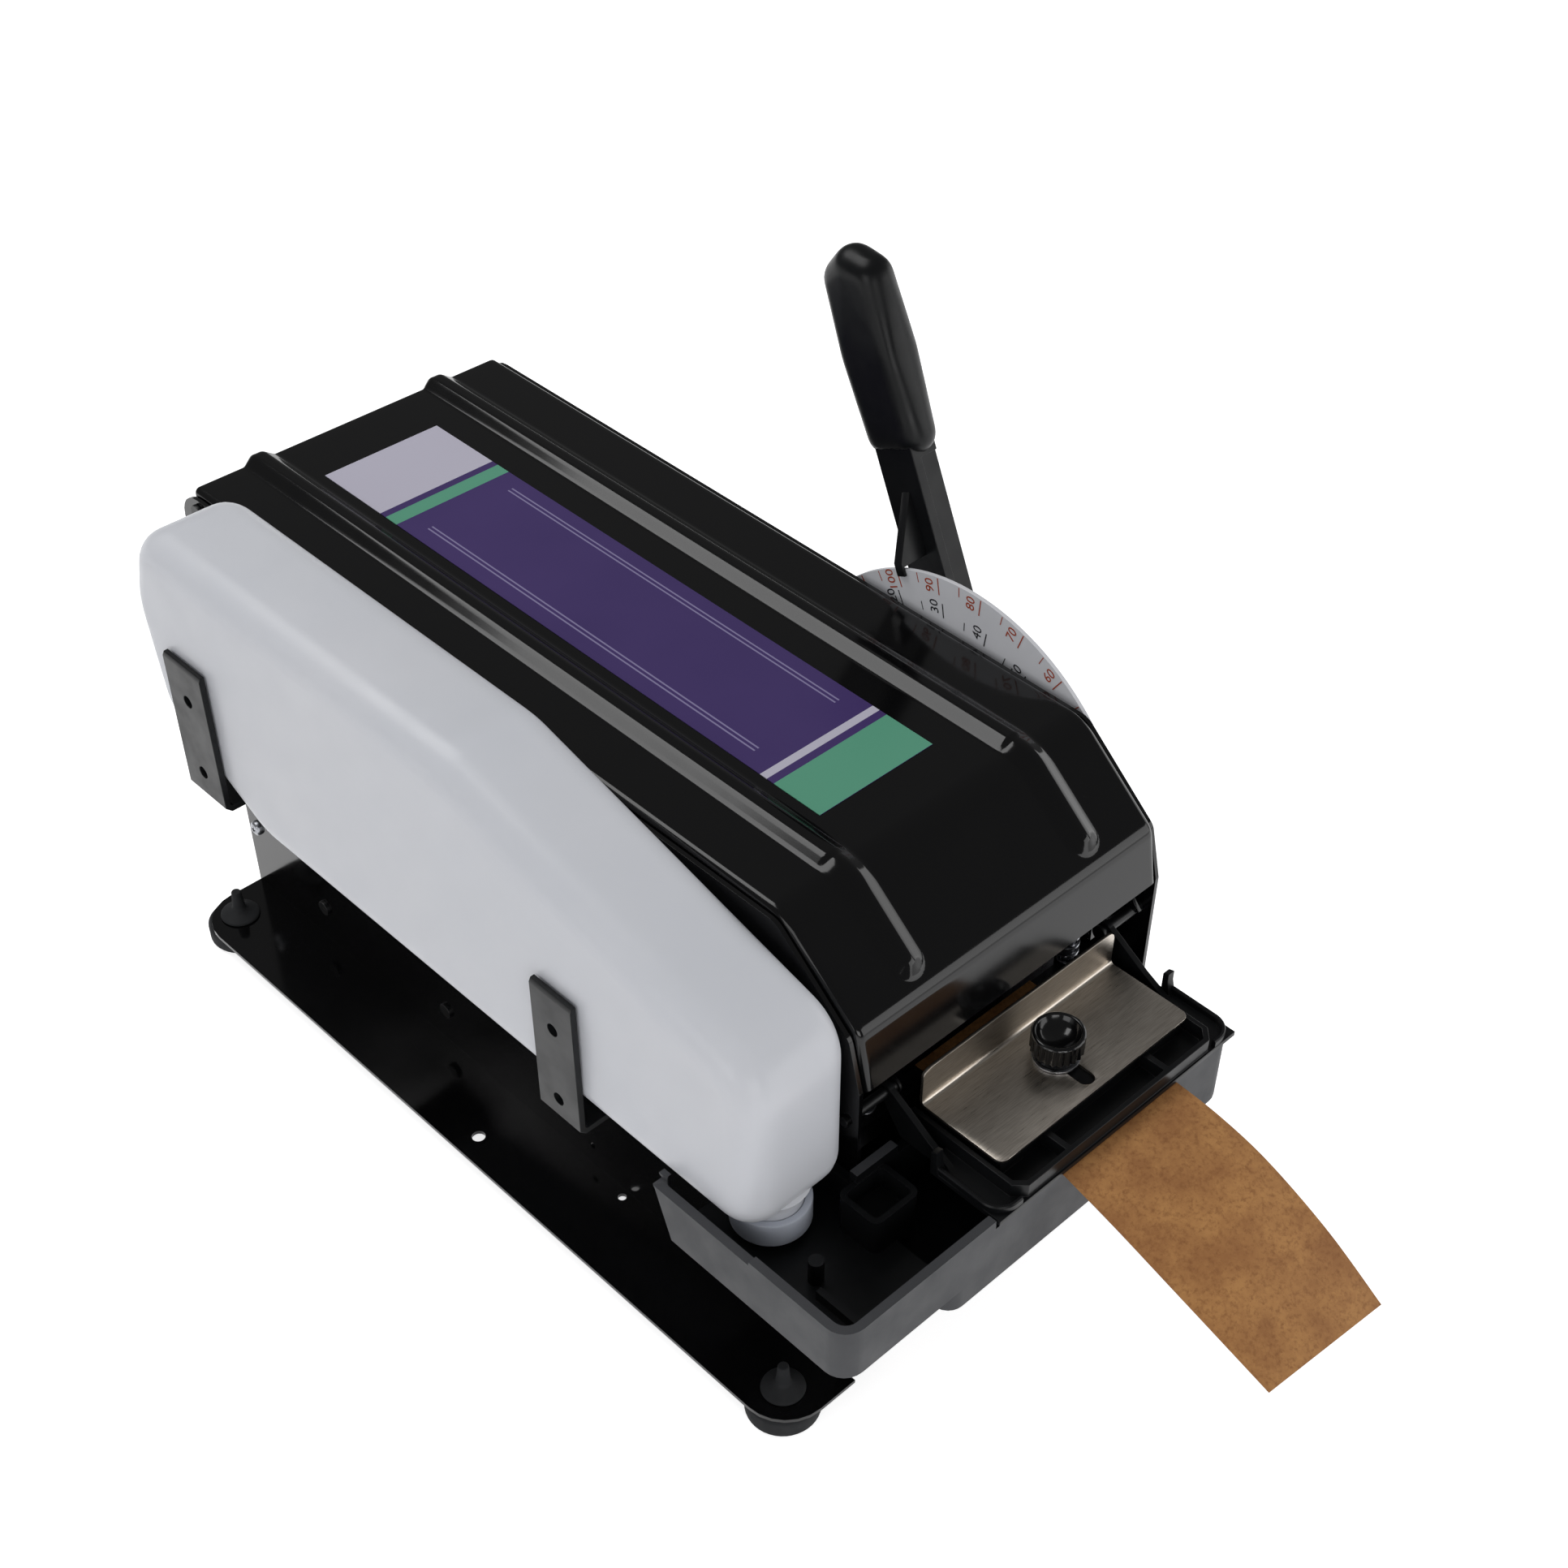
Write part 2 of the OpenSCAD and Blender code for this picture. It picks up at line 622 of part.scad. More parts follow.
// ---- Lever, dial and gears ----
spacer_places = [for (a = [40, 190, 300]) polar(axle, dial_r - 22, a)];
hub_r = 17;
module dial_plate() {
    color("#c9cad0") difference() {
        bar_x(dial_x, dial_x + dial_t, axle, dial_r);
        bar_x(dial_x - 1, dial_x + dial_t + 1, axle, lever_bush_r + 4);
        for (p = spacer_places) bar_x(dial_x - 1, dial_x + dial_t + 1, p, 2);
    }
}
module dial_spacers() {
    color("#8d9096") for (p = spacer_places) difference() {
        bar_x(wall_x, dial_x, p, 4.5);
        bar_x(wall_x - 1, dial_x + 1, p, 2);
    }
}
module dial_screws() {
    color("#b9bbc0") for (p = spacer_places) {
        bar_x(wall_in - 2, dial_x + dial_t, p, 2);
        bar_x(dial_x + dial_t, dial_x + dial_t + 2.2, p, 4);
        bar_x(wall_in - 3.5, wall_in, p, 3.5);
    }
}
module shaft_bushes() {
    color("#b08d57") {
        mirrored() difference() {
            union() {
                bar_x(wall_in - 5, wall_x, feed_c, bush_r);
                bar_x(wall_x, wall_x + 1.5, feed_c, bush_r + 2);
            }
            bar_x(wall_in - 6, wall_x + 3, feed_c, feed_shaft_d / 2 + run_gap);
        }
        difference() {
            union() {
                bar_x(wall_in - 6, dial_x + dial_t + 3, axle, lever_bush_r);
                bar_x(wall_in - 6, wall_in, axle, lever_bush_r + 3);
            }
            bar_x(wall_in - 7, dial_x + dial_t + 4, axle, lever_shaft_d / 2 + run_gap);
        }
    }
}
// Turns a shape drawn along +Z from the axle to the lever's rest angle
module on_lever() {
    translate([0, axle[0], axle[1]]) rotate([lever_lean * -1, 0, 0]) children();
}
module lever_arm() {
    color("#1a1b1d") on_lever() difference() {
        union() {
            block([lever_x, -lever_w / 2, 0], [lever_x + lever_t, lever_w / 2, lever_len - grip_len + 30]);
            bar_x(lever_x, lever_x + lever_t, [0, 0], hub_r);
            bar_x(dial_x + dial_t + 3 + seat_gap, lever_x, [0, 0], lever_bush_r + 1);
        }
        bar_x(dial_x, lever_x + lever_t + 1, [0, 0], lever_shaft_d / 2);
        // The front face steps back beside a raised edge
        block([lever_x + 5, -lever_w / 2 - 1, hub_r + 8],
            [lever_x + lever_t + 1, -lever_w / 2 + 1, lever_len - grip_len]);
    }
}
module lever_grip() {
    mid = lever_x + lever_t / 2;
    color("#1a1b1d") on_lever() difference() {
        hull() {
            for (s = [-1, 1]) for (z = [lever_len - grip_len + 10, lever_len - grip_w / 2 + 3])
                translate([mid, s * (grip_w / 2 - 9), z]) sphere(r = 9.5, $fn = 32);
            translate([mid, 0, lever_len - 10]) sphere(r = 10, $fn = 32);
            for (s = [-1, 1]) for (e = [-1, 1])
                translate([mid + e * (grip_t / 2 - 6), s * (grip_w / 2 - 6), lever_len - grip_len / 2])
                    sphere(r = 6, $fn = 24);
        }
        block([lever_x, -lever_w / 2, 0], [lever_x + lever_t, lever_w / 2, lever_len - grip_len + 30]);
    }
}
pointer_in = dial_x - 1.6;
module pointer() {
    color("#222326") on_lever() translate([0, -lever_w / 2 + 13, 0]) rotate([90, 0, 0])
        linear_extrude(5) polygon([
            [lever_x, dial_r + 1], [dial_x - seat_gap, dial_r + 1], [dial_x - seat_gap, dial_r - 3],
            [pointer_in, dial_r - 3], [pointer_in, dial_r + 3], [lever_x, dial_r + 30]]);
}
module lever_shaft() {
    color("#8d9096") {
        bar_x(rocker_x - 2, lever_x + lever_t, axle, lever_shaft_d / 2);
    }
}
module lever_nut() {
    color("#8d9096") {
        translate([lever_x + lever_t, axle[0], axle[1]]) rotate([0, 90, 0]) cylinder(h = 6, r = 10, $fn = 6);
    }
}
cam_top = axle_z + 15;
sector_from = -ceil((lever_fwd + 8) * drive_n / 360);
sector_to = ceil((lever_back + 8) * drive_n / 360);
module drive_sector() {
    color("#8d9096") translate([0, axle[0], axle[1]]) {
        plate_x(drive_x, drive_x + gear_w) difference() {
            union() {
                gear_2d(drive_n, 1, mesh_a, sector_from, sector_to);
                circle(16);
            }
            circle(lever_shaft_d / 2);
        }
        // The cam that works the cutter, below the rocker at every angle
        plate_x(rocker_x - 1, rocker_x + 6) difference() {
            circle(cam_top - axle_z);
            circle(lever_shaft_d / 2);
        }
        plate_x(rocker_x + 6, drive_x) difference() {
            circle(lever_shaft_d / 2 + 3);
            circle(lever_shaft_d / 2);
        }
    }
}
module idler_gear() {
    color("#a9abb0") translate([0, idler_c[0], idler_c[1]]) {
        plate_x(drive_x, drive_x + gear_w)
            gear_2d(small_n, idler_r + run_gap, mesh_a + 180 + 180 / small_n);
        plate_x(drive_x + gear_w, big_x) difference() {
            circle(gear_m * small_n / 2 - 2);
            circle(idler_r + run_gap);
        }
        plate_x(big_x, big_x + gear_w) gear_2d(big_n, idler_r + run_gap, mesh_b);
    }
}
module idler_axle() {
    color("#8d9096") {
        bar_x(drive_x - 3, wall_x + 1, idler_c, idler_r);
        bar_x(drive_x - 3, drive_x - seat_gap, idler_c, idler_r + 2.5);
        bar_x(big_x + gear_w + seat_gap, wall_in, idler_c, idler_r + 3);
    }
}
module feed_shaft() {
    color("#8d9096") {
        bar_x(-wall_x - 1, wall_x + 1, feed_c, feed_shaft_d / 2);
        translate([0, feed_c[0], feed_c[1]]) plate_x(big_x, big_x + gear_w)
            gear_2d(pinion_n, feed_shaft_d / 2 - 0.5, mesh_b + 180 + 180 / pinion_n);
    }
}
module feed_roller() {
    color("#2b2c2f") difference() {
        bar_x(-tape_w / 2 + 3, tape_w / 2 - 3, feed_c, feed_r);
        bar_x(-tape_w, tape_w, feed_c, feed_shaft_d / 2);
    }
}
pin_r = 3;
press_len = tape_w / 2 - 7;
arm_in = press_len + 1;
module pressure_arms() {
    color("#9a9da3") {
        mirrored() difference() {
            plate_x(arm_in, arm_in + 3) link_2d(press_c, arm_pin, 7);
            bar_x(0, 60, press_c, pin_r);
            bar_x(0, 60, arm_pin, pin_r + run_gap);
        }
        bar_x(-arm_in - 3, arm_in + 3, press_c, pin_r);
    }
}
module pressure_pin() {
    color("#8d9096") bar_x(-rail_x - 3, rail_x + 3, arm_pin, pin_r);
}
module pressure_roller() {
    color("#2b2c2f") difference() {
        bar_x(-press_len + seat_gap, press_len - seat_gap, press_c, press_roll_d / 2);
        bar_x(-60, 60, press_c, pin_r + run_gap);
    }
}

// ---- Water tank and brushes ----
// Plan outlines in X and Y, from the outside face inwards by g
function basin_plan(g) = round_outline(
    [[-tank_left + g, -tank_front + g], [-trough_x - 4, -tank_front + g], [-trough_x - 4, -trough_back - g],
     [-bottle_x + 0.5 - g, -trough_back - g], [-bottle_x + 0.5 - g, -tank_rear - g],
     [-tank_left + g, -tank_rear - g]],
    [10 - g, 0, 0, 0, 3, 3]);
function trough_plan(g) = round_outline(
    [[-trough_x + g, -tank_front + g], [tank_right - g, -tank_front + g],
     [tank_right - g, -trough_back - g], [-trough_x + g, -trough_back - g]],
    [8 - g, 10 - g, 6 - g, 6 - g]);
function bridge_plan(g) = [[-trough_x - 20, -tank_front + g], [-trough_x + 12, -tank_front + g],
    [-trough_x + 12, -trough_back - g], [-trough_x - 20, -trough_back - g]];
basin_z = tank_rim_z - basin_depth;
trough_z = tank_rim_z - trough_depth;
mouth_z = tape_lo - 1.2;
module tank_void() {
    translate([0, 0, basin_z + tank_wall]) linear_extrude(60) polygon(basin_plan(tank_wall));
    translate([0, 0, trough_z + tank_wall]) linear_extrude(60) polygon(trough_plan(tank_wall));
    translate([0, 0, basin_z + tank_wall]) linear_extrude(60) polygon(bridge_plan(tank_wall));
}
tower = [-92.5, -tank_front + 43.5];
module water_tank() {
    color("#3a3b3f") {
        difference() {
            union() {
                translate([0, 0, basin_z]) linear_extrude(basin_depth) polygon(basin_plan(0));
                translate([0, 0, trough_z]) linear_extrude(trough_depth) polygon(trough_plan(0));
                translate([0, 0, basin_z]) linear_extrude(basin_depth) polygon(bridge_plan(0));
            }
            tank_void();
            // The front wall and the rear wall are lower where the tape runs out
            block([-press_w / 2 - 0.6, -tank_front - 1, mouth_z],
                [tank_right + 1, -trough_back + 1, tank_rim_z + 1]);
            // The basin's rear and right walls end under the bottle
            block([-bottle_out - seat_gap, -trough_back, bottle_z - seat_gap],
                [-bottle_x + 1, -tank_rear + 1, tank_rim_z + 1]);
            // The left rim steps down beside the bottle
            block([-tank_left - 1, -tank_front + 51.4, tank_rim_z - 1.8],
                [-tank_left + tank_wall + 1, -tank_rear + 5, tank_rim_z + 1]);
            // The basin's rear end slopes forward under the rim
            translate([-tank_left - 1, 0, 0]) rotate([90, 0, 90]) linear_extrude(tank_left - bottle_x)
                polygon([[-tank_rear + 1, basin_z - 1], [-tank_rear - 12, basin_z - 1],
                    [-tank_rear - 3, tank_rim_z - 3], [-tank_rear + 1, tank_rim_z]]);
        }
        // Square tower, cap rest and rib on the basin's floor
        difference() {
            translate([tower[0], tower[1], basin_z + 1]) linear_extrude(basin_depth - 5.5)
                polygon(round_outline([[-12.5, -11], [12.5, -11], [12.5, 11], [-12.5, 11]], [4, 4, 4, 4]));
            translate([tower[0], tower[1], basin_z + 12]) linear_extrude(basin_depth)
                polygon(round_outline([[-10, -8.5], [10, -8.5], [10, 8.5], [-10, 8.5]], [2, 2, 2, 2]));
        }
        block([-135.5, -tank_front + tank_wall, basin_z + tank_wall - 0.5],
            [-132.5, -tank_front + 34, basin_z + tank_wall + 5]);
        bar_z([-129, -tank_front + 40.5], basin_z + 1, basin_z + tank_wall + 12, 3.2);
    }
}
brush_ys = [-tank_front + 31, -tank_front + 15];
brush_w = 66;
module brush_blocks() {
    color("#d8d2c4") for (y = brush_ys) {
        block([-brush_w / 2, y - 5, trough_z + tank_wall + seat_gap],
            [brush_w / 2, y + 5, trough_z + tank_wall + 14]);
    }
}
module brush_bristles() {
    color("#2a2724") for (y = brush_ys) {
        block([-brush_w / 2 + 2, y - 3.5, trough_z + tank_wall + 14],
            [brush_w / 2 - 2, y + 3.5, tape_lo - seat_gap]);
    }
}

// ---- Bottle ----
heel_y = bottle_rear - 78;
heel_rise = 36.5;
bottle_top = bottle_z + bottle_h;
bottle_side = [[bottle_front, bottle_z], [heel_y, bottle_z], [bottle_rear - 8, bottle_z + heel_rise],
    [bottle_rear, bottle_z + 97], [bottle_rear - 12, bottle_top], [bottle_front + 176, bottle_top],
    [bottle_front, bottle_z + bottle_front_h]];
// The outline's corner i pulled inside by r along both of its sides
function inset_corner(i, r) =
    let (n = len(bottle_side), p = bottle_side[i])
    let (u = unit(bottle_side[(i + n - 1) % n] - p), v = unit(bottle_side[(i + 1) % n] - p))
    p + unit(u + v) * r / sin(acos(u * v) / 2);
module bottle_form(r, g) {
    hull() for (i = [0:len(bottle_side) - 1]) for (x = [bottle_x + r + g, bottle_out - r - g])
        translate([-x, inset_corner(i, r + g)[0], inset_corner(i, r + g)[1]]) sphere(r = r, $fn = 24);
}
neck_r = cap_d / 2 - 3.3;
cap_top = bottle_z - 0.2;
module bottle() {
    color("#d4d6dc") difference() {
        union() {
            bottle_form(bottle_r, 0);
            bar_z(cap_c, cap_top - 8, bottle_z + 10, neck_r);
        }
        bottle_form(bottle_r - bottle_wall, bottle_wall);
        bar_z(cap_c, cap_top - 9, bottle_z + 11, neck_r - bottle_wall);
    }
}
module bottle_cap() {
    color("#b9bfcc") difference() {
        bar_z(cap_c, cap_lo, cap_top, cap_d / 2);
        bar_z(cap_c, cap_lo + 3, cap_top + 1, neck_r);
        bar_z(cap_c, cap_lo - 1, cap_lo + 4, 4 + run_gap);
    }
}
module valve_pin() {
    color("#8d9096") {
        bar_z(cap_c, cap_lo - 2.5, cap_lo + 7, 4);
        bar_z(cap_c, cap_lo + 7, cap_lo + 9, 6.5);
    }
}
module strap(s) {
    x_out = bottle_out + seat_gap;
    difference() {
        plate_y(s[0] - s[1] / 2, s[0] + s[1] / 2) polygon([
            [-wall_x, s[2]], [-x_out - strap_t + 3, s[2]], [-x_out - strap_t, s[2] + 3],
            [-x_out - strap_t, s[3] - 2], [-x_out - strap_t + 1, s[3]], [-x_out, s[3]],
            [-x_out, s[2] + strap_t + 1], [-x_out + 1, s[2] + strap_t],
            [-wall_x, s[2] + strap_t]]);
        for (z = strap_holes(s)) bar_x(-x_out - strap_t - 1, -x_out + 1, [s[0], z], 3);
    }
    difference() {
        block([-wall_x - strap_t, s[0] - s[1] / 2, s[2] - 26], [-wall_x, s[0] + s[1] / 2, s[2]]);
        bar_x(-wall_x - 5, -wall_x + 1, [s[0], s[2] - 14], 2.5);
    }
    // The rest follows the bottle's underside
    plate_x(-bottle_out + bottle_r + 2, -bottle_x - bottle_r - 2) polygon([
        [s[0] - s[1] / 2, s[2] + strap_t], [s[0] + s[1] / 2, s[2] + strap_t],
        [s[0] + s[1] / 2, rest_z(s[0] + s[1] / 2)], [s[0] - s[1] / 2, rest_z(s[0] - s[1] / 2)]]);
}
function strap_holes(s) = [s[3] - 20, s[3] - 60];
function rest_z(y) = bottle_z - seat_gap - 0.05 + max(0, (y - heel_y) * heel_rise / (bottle_rear - 8 - heel_y));
// A flat outline in X and Z, made into a plate from y0 to y1
module plate_y(y0, y1) {
    translate([0, y1, 0]) rotate([90, 0, 0]) linear_extrude(y1 - y0) children();
}
module front_strap() {
    color("#1d1e20") strap(straps[0]);
}
module rear_strap() {
    color("#1d1e20") strap(straps[1]);
}
module strap_screws() {
    color("#b9bbc0") for (s = straps) {
        bar_x(-wall_x - strap_t, -wall_x, [s[0], s[2] - 14], 2.5);
        bar_x(-wall_x - strap_t - 2.4, -wall_x - strap_t, [s[0], s[2] - 14], 4.5);
    }
}

// ---- Cover ----
module hinge_rod() {
    color("#8d9096") {
        bar_x(-wall_x - 1, wall_x + 1, [hinge_y, hinge_z], hinge_d / 2);
        mirrored() bar_x(wall_x, wall_x + 2, [hinge_y, hinge_z], hinge_d / 2 + 2);
    }
}
outer_path = round_path(cover_path, cover_radii);
// A pressed rib's body over the sheet, lowered by g and narrowed by g
module rib_body(g) {
    section = [[-rib_w / 2 + g, -4], [-rib_w / 2 + g, 0 - g * 0.5], [-rib_w / 4 + g * 0.7, rib_h - g],
        [rib_w / 4 - g * 0.7, rib_h - g], [rib_w / 2 - g, 0 - g * 0.5], [rib_w / 2 - g, -4]];
    reach = rib_h * tan(slope_a / 2);
    rib_end = 36;
    translate([0, cover_rear_y + g, cover_z]) rotate([90, 0, 0])
        linear_extrude(cover_top_len + reach + g) polygon(section);
    translate([0, crease_y, cover_z]) rotate([slope_a, 0, 0]) translate([0, reach, 0]) rotate([90, 0, 0])
        linear_extrude(rib_end + reach) polygon(section);
    translate([0, crease_y, cover_z]) rotate([slope_a, 0, 0]) translate([0, -rib_end, 0]) rotate_extrude()
        polygon([[0, -4], [rib_w / 2 - g, -4], [rib_w / 2 - g, 0 - g * 0.5], [rib_w / 4 - g * 0.7, rib_h - g],
            [0, rib_h - g]]);
}
module top_cover() {
    under = shift_path(cover_path, cover_t + 0.1);
    under_path = [under[1], under[2], under[3]];
    color("#17181a") difference() {
        union() {
            difference() {
                union() {
                    plate_x(-cover_half, cover_half) polygon(strip_outline(outer_path, cover_t));
                    mirrored() translate([rib_x, 0, 0]) rib_body(0);
                }
                mirrored() translate([rib_x, 0, 0]) rib_body(cover_t);
            }
            mirrored() plate_x(cover_half - cover_t, cover_half)
                polygon(concat(outer_path, [[drop_y + cover_side_h / 2, drop_z], [bend_y + 9, bend_z - 8],
                    [crease_y + 4, cover_z - cover_side_h], [cover_rear_y, cover_z - cover_side_h]]));
            block([-cover_half, cover_rear_y - cover_t, hinge_z - 8], [cover_half, cover_rear_y, cover_z - 1]);
        }
        bar_x(-wall_x, wall_x, [hinge_y, hinge_z], hinge_d / 2 + run_gap);
        // Nothing of the ribs' undersides reaches past the sheet
        plate_x(-cover_half + cover_t, cover_half - cover_t) polygon(
            concat([[cover_rear_y - cover_t, cover_z - cover_t - 0.1]], under_path,
                [[drop_y + 40, drop_z - 5], [cover_rear_y - cover_t, 150]]));
    }
}
module cover_label() {
    color("#46356b") block([-5.2 - label_w / 2, 18.5 - label_len / 2, cover_z],
        [-5.2 + label_w / 2, 18.5 + label_len / 2, cover_z + label_t]);
}

// ---- Press frame, steel plate and knob ----
module press_pins() {
    color("#a9abb0") mirrored() {
        bar_x(arm_x - 2, wall_x + 1.5, pivot, pivot_r);
        bar_x(arm_x - 3.5, arm_x - 2, pivot, pivot_r + 1.2);
    }
}
function rim_plan(x, y, c) = [[-x, plate_back + 2], [-x, y + c], [-x + c, y], [x - c, y], [x, y + c],
    [x, plate_back + 2]];
module press_frame() {
    half = press_w / 2;
    rim = press_rim_w / 2;
    color("#232427") difference() {
        union() {
            // Floor with side flanges
            block([-half, press_front, press_lo], [half, press_front + 37, press_hi]);
            // Rim round the tray, open at the rear
            translate([0, 0, press_hi]) linear_extrude(rim_z - press_hi) difference() {
                polygon(rim_plan(rim, press_front + 1, 5));
                polygon(rim_plan(rim - 2.4, press_front + 3.4, 4));
            }
            block([-rim, press_front + 30, press_lo], [rim, plate_back - 4, press_hi]);
            // Deck that carries the steel plate
            block([-plate_w / 2 + 2, plate_front + 2, press_hi], [plate_w / 2 - 2, plate_back - 4, deck_z]);
            // Two ribs divide the front channel
            for (x = [-30, 30]) block([x - 1.5, press_front + 3, press_hi], [x + 1.5, plate_front + 3, rim_z]);
            // Arms that carry the frame on its pivots
            mirrored() difference() {
                union() {
                    plate_x(arm_x, arm_x + arm_t) {
                        translate(pivot) circle(3.9);
                        polygon([
                            [press_front + 30, press_hi], [press_front + 40, press_lo],
                            [plate_back, press_lo], [pivot[0] + 2.4, pivot[1] - 3],
                            [pivot[0] - 1, pivot[1] + 3.7], [press_front + 44, rim_z]]);
                    }
                    block([rim - 1, press_front + 33, press_lo], [arm_x + arm_t, press_front + 40, press_hi]);
                }
                bar_x(0, 100, pivot, pivot_r + run_gap);
            }
            // Small hooks behind the flanges
            mirrored() plate_x(half - 4, half) polygon([
                [press_front + 32, press_hi - 1], [press_front + 37, press_hi - 1],
                [press_front + 37, press_hi + 10], [press_front + 34, press_hi + 11],
                [press_front + 34, press_hi + 6]]);
        }
        // Open cells under the steel plate and the stud's hole
        for (x = [-plate_w / 2 + 5, 8]) block([x, plate_front + 5, press_hi],
            [x + plate_w / 2 - 13, plate_back - 7, deck_z + 1]);
        bar_z([0, knob_y], press_hi, 200, stud_r + run_gap);
    }
}
stud_r = 3;
slot_r = 3.75;
slot_y = [knob_y + 3.6, plate_front + 7.2];
module steel_plate() {
    color("#b7b2ab") difference() {
        union() {
            block([-plate_w / 2, plate_front, deck_z], [plate_w / 2, plate_back - plate_t, plate_hi]);
            block([-plate_w / 2, plate_back - plate_t, deck_z], [plate_w / 2, plate_back, deck_z + plate_up]);
        }
        for (y = slot_y) bar_z([0, y], deck_z - 1, plate_hi + 1, slot_r);
        block([-slot_r, slot_y[1], deck_z - 1], [slot_r, slot_y[0], plate_hi + 1]);
    }
}
washer_t = 1.2;
washer_z = plate_hi + 0.1;
module knob_washer() {
    color("#c2c4c8") difference() {
        bar_z([0, knob_y], washer_z, washer_z + washer_t, 10);
        bar_z([0, knob_y], washer_z - 1, washer_z + washer_t + 1, stud_r + run_gap);
    }
}
module knob() {
    z0 = washer_z + washer_t;
    color("#1a1b1d") difference() {
        union() {
            bar_z([0, knob_y], press_hi + 0.4, z0 + 2, stud_r);
            bar_z([0, knob_y], z0, z0 + 4, knob_d / 2 - 2.6);
            bar_z([0, knob_y], z0 + 3, z0 + knob_h - 0.8, knob_d / 2 - 0.8);
            for (i = [0:17]) translate([0, knob_y, z0 + 3]) rotate([0, 0, i * 20])
                translate([knob_d / 2 - 1.4, -0.8, 0]) cube([1.4, 1.6, knob_h - 4.6]);
            bar_z([0, knob_y], z0 + knob_h - 1, z0 + knob_h, knob_d / 2 - 1.2);
        }
        translate([0, knob_y, z0 + knob_h + 24]) sphere(r = 26, $fn = 64);
    }
}

left_frame();
right_frame();
base_pan();
rear_panel();
front_panel();
tank_shelf();
rubber_feet();
roll_guides();
basket_axles();
basket_roller_front();
basket_roller_rear();
guide_rods();
tape_bed();
lower_blade();
cutter_bars();
blade_rods();
upper_blade();
blade_carrier();
blade_springs();
cut_rocker();
rocker_pin();
dial_plate();
dial_spacers();
dial_screws();
water_tank();
brush_blocks();
brush_bristles();
bottle();
bottle_cap();
valve_pin();
front_strap();
rear_strap();
strap_screws();
frame_screws();
hinge_rod();
top_cover();
cover_label();
lever_arm();
lever_grip();
pointer();
lever_shaft();
lever_nut();
shaft_bushes();
drive_sector();
idler_gear();
idler_axle();
feed_shaft();
feed_roller();
pressure_arms();
pressure_pin();
pressure_roller();
roll_core();
tape_roll();
tape_web();
tape_strip();
press_frame();
steel_plate();
knob();
knob_washer();
press_pins();
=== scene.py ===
"""Dresses a gummed tape dispenser: finishes, pressed and moulded shapes, printed dial, stage and camera."""

import json
import math

import bmesh
import bpy
from bpy.props import FloatProperty, FloatVectorProperty, IntProperty, PointerProperty
from mathutils import Matrix, Vector
from mathutils.bvhtree import BVHTree


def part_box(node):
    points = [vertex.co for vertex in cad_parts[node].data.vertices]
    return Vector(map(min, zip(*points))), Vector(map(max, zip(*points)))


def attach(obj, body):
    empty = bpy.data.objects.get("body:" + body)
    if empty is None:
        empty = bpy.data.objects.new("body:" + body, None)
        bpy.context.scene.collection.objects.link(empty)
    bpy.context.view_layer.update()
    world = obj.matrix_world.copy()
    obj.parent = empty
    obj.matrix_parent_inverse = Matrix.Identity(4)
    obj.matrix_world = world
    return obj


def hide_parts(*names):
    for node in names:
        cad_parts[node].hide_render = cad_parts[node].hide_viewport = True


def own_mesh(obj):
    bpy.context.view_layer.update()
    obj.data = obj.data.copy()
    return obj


bl_info = {
    "name": "Gummed tape dispenser",
    "version": (1, 0, 0),
    "blender": (4, 5, 0),
    "location": "3D View > Sidebar > Dispenser",
    "description": "Dresses the packed tape dispenser with finishes and fine shapes",
    "category": "Object",
}

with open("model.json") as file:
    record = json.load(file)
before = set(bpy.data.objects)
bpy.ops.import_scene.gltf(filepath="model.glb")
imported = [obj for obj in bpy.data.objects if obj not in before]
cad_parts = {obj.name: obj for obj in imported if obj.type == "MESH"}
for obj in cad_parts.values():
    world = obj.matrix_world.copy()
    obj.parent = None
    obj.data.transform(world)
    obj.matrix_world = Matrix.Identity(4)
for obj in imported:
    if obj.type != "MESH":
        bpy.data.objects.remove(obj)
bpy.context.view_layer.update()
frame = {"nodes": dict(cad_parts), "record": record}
MM = 0.001

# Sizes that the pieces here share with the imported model, in metres
SHEET = 0.0012
COVER_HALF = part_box("top_cover")[1].x
LABEL_LOW, LABEL_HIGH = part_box("cover_label")
COVER_TOP = LABEL_LOW.z
COVER_REAR = 0.214
COVER_LENGTH = 0.3885
SLOPE_RUN, SLOPE_FALL = 0.0415, 0.0345
DROP_RUN, DROP_FALL = 0.005, 0.027
CREASE = COVER_REAR - COVER_LENGTH
BEND = (CREASE - SLOPE_RUN, COVER_TOP - SLOPE_FALL)
DROP = (BEND[0] - DROP_RUN, BEND[1] - DROP_FALL)
LEVER_AXLE = (-0.1023, 0.1702)
DIAL_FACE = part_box("dial_plate")[0].x
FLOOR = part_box("rubber_feet")[0].z

# Vertices closer than this are made one, in metres
WELD = 2e-6


# ---- Small helpers ----
def rgb(text):
    """Linear colour from an sRGB hex value."""
    values = [int(text[i : i + 2], 16) / 255 for i in (1, 3, 5)]
    return [v / 12.92 if v <= 0.04045 else ((v + 0.055) / 1.055) ** 2.4 for v in values]


def rgba(text):
    """The same, with full opacity."""
    return (*rgb(text), 1.0)


def put(tree, kind, inputs=None, **settings):
    """Adds a node with its settings. Each input is a value or another node's output."""
    node = tree.nodes.new(kind)
    for key, value in settings.items():
        setattr(node, key, value)
    for key, value in (inputs or {}).items():
        if isinstance(value, bpy.types.NodeSocket):
            tree.links.new(value, node.inputs[key])
        else:
            node.inputs[key].default_value = value
    return node


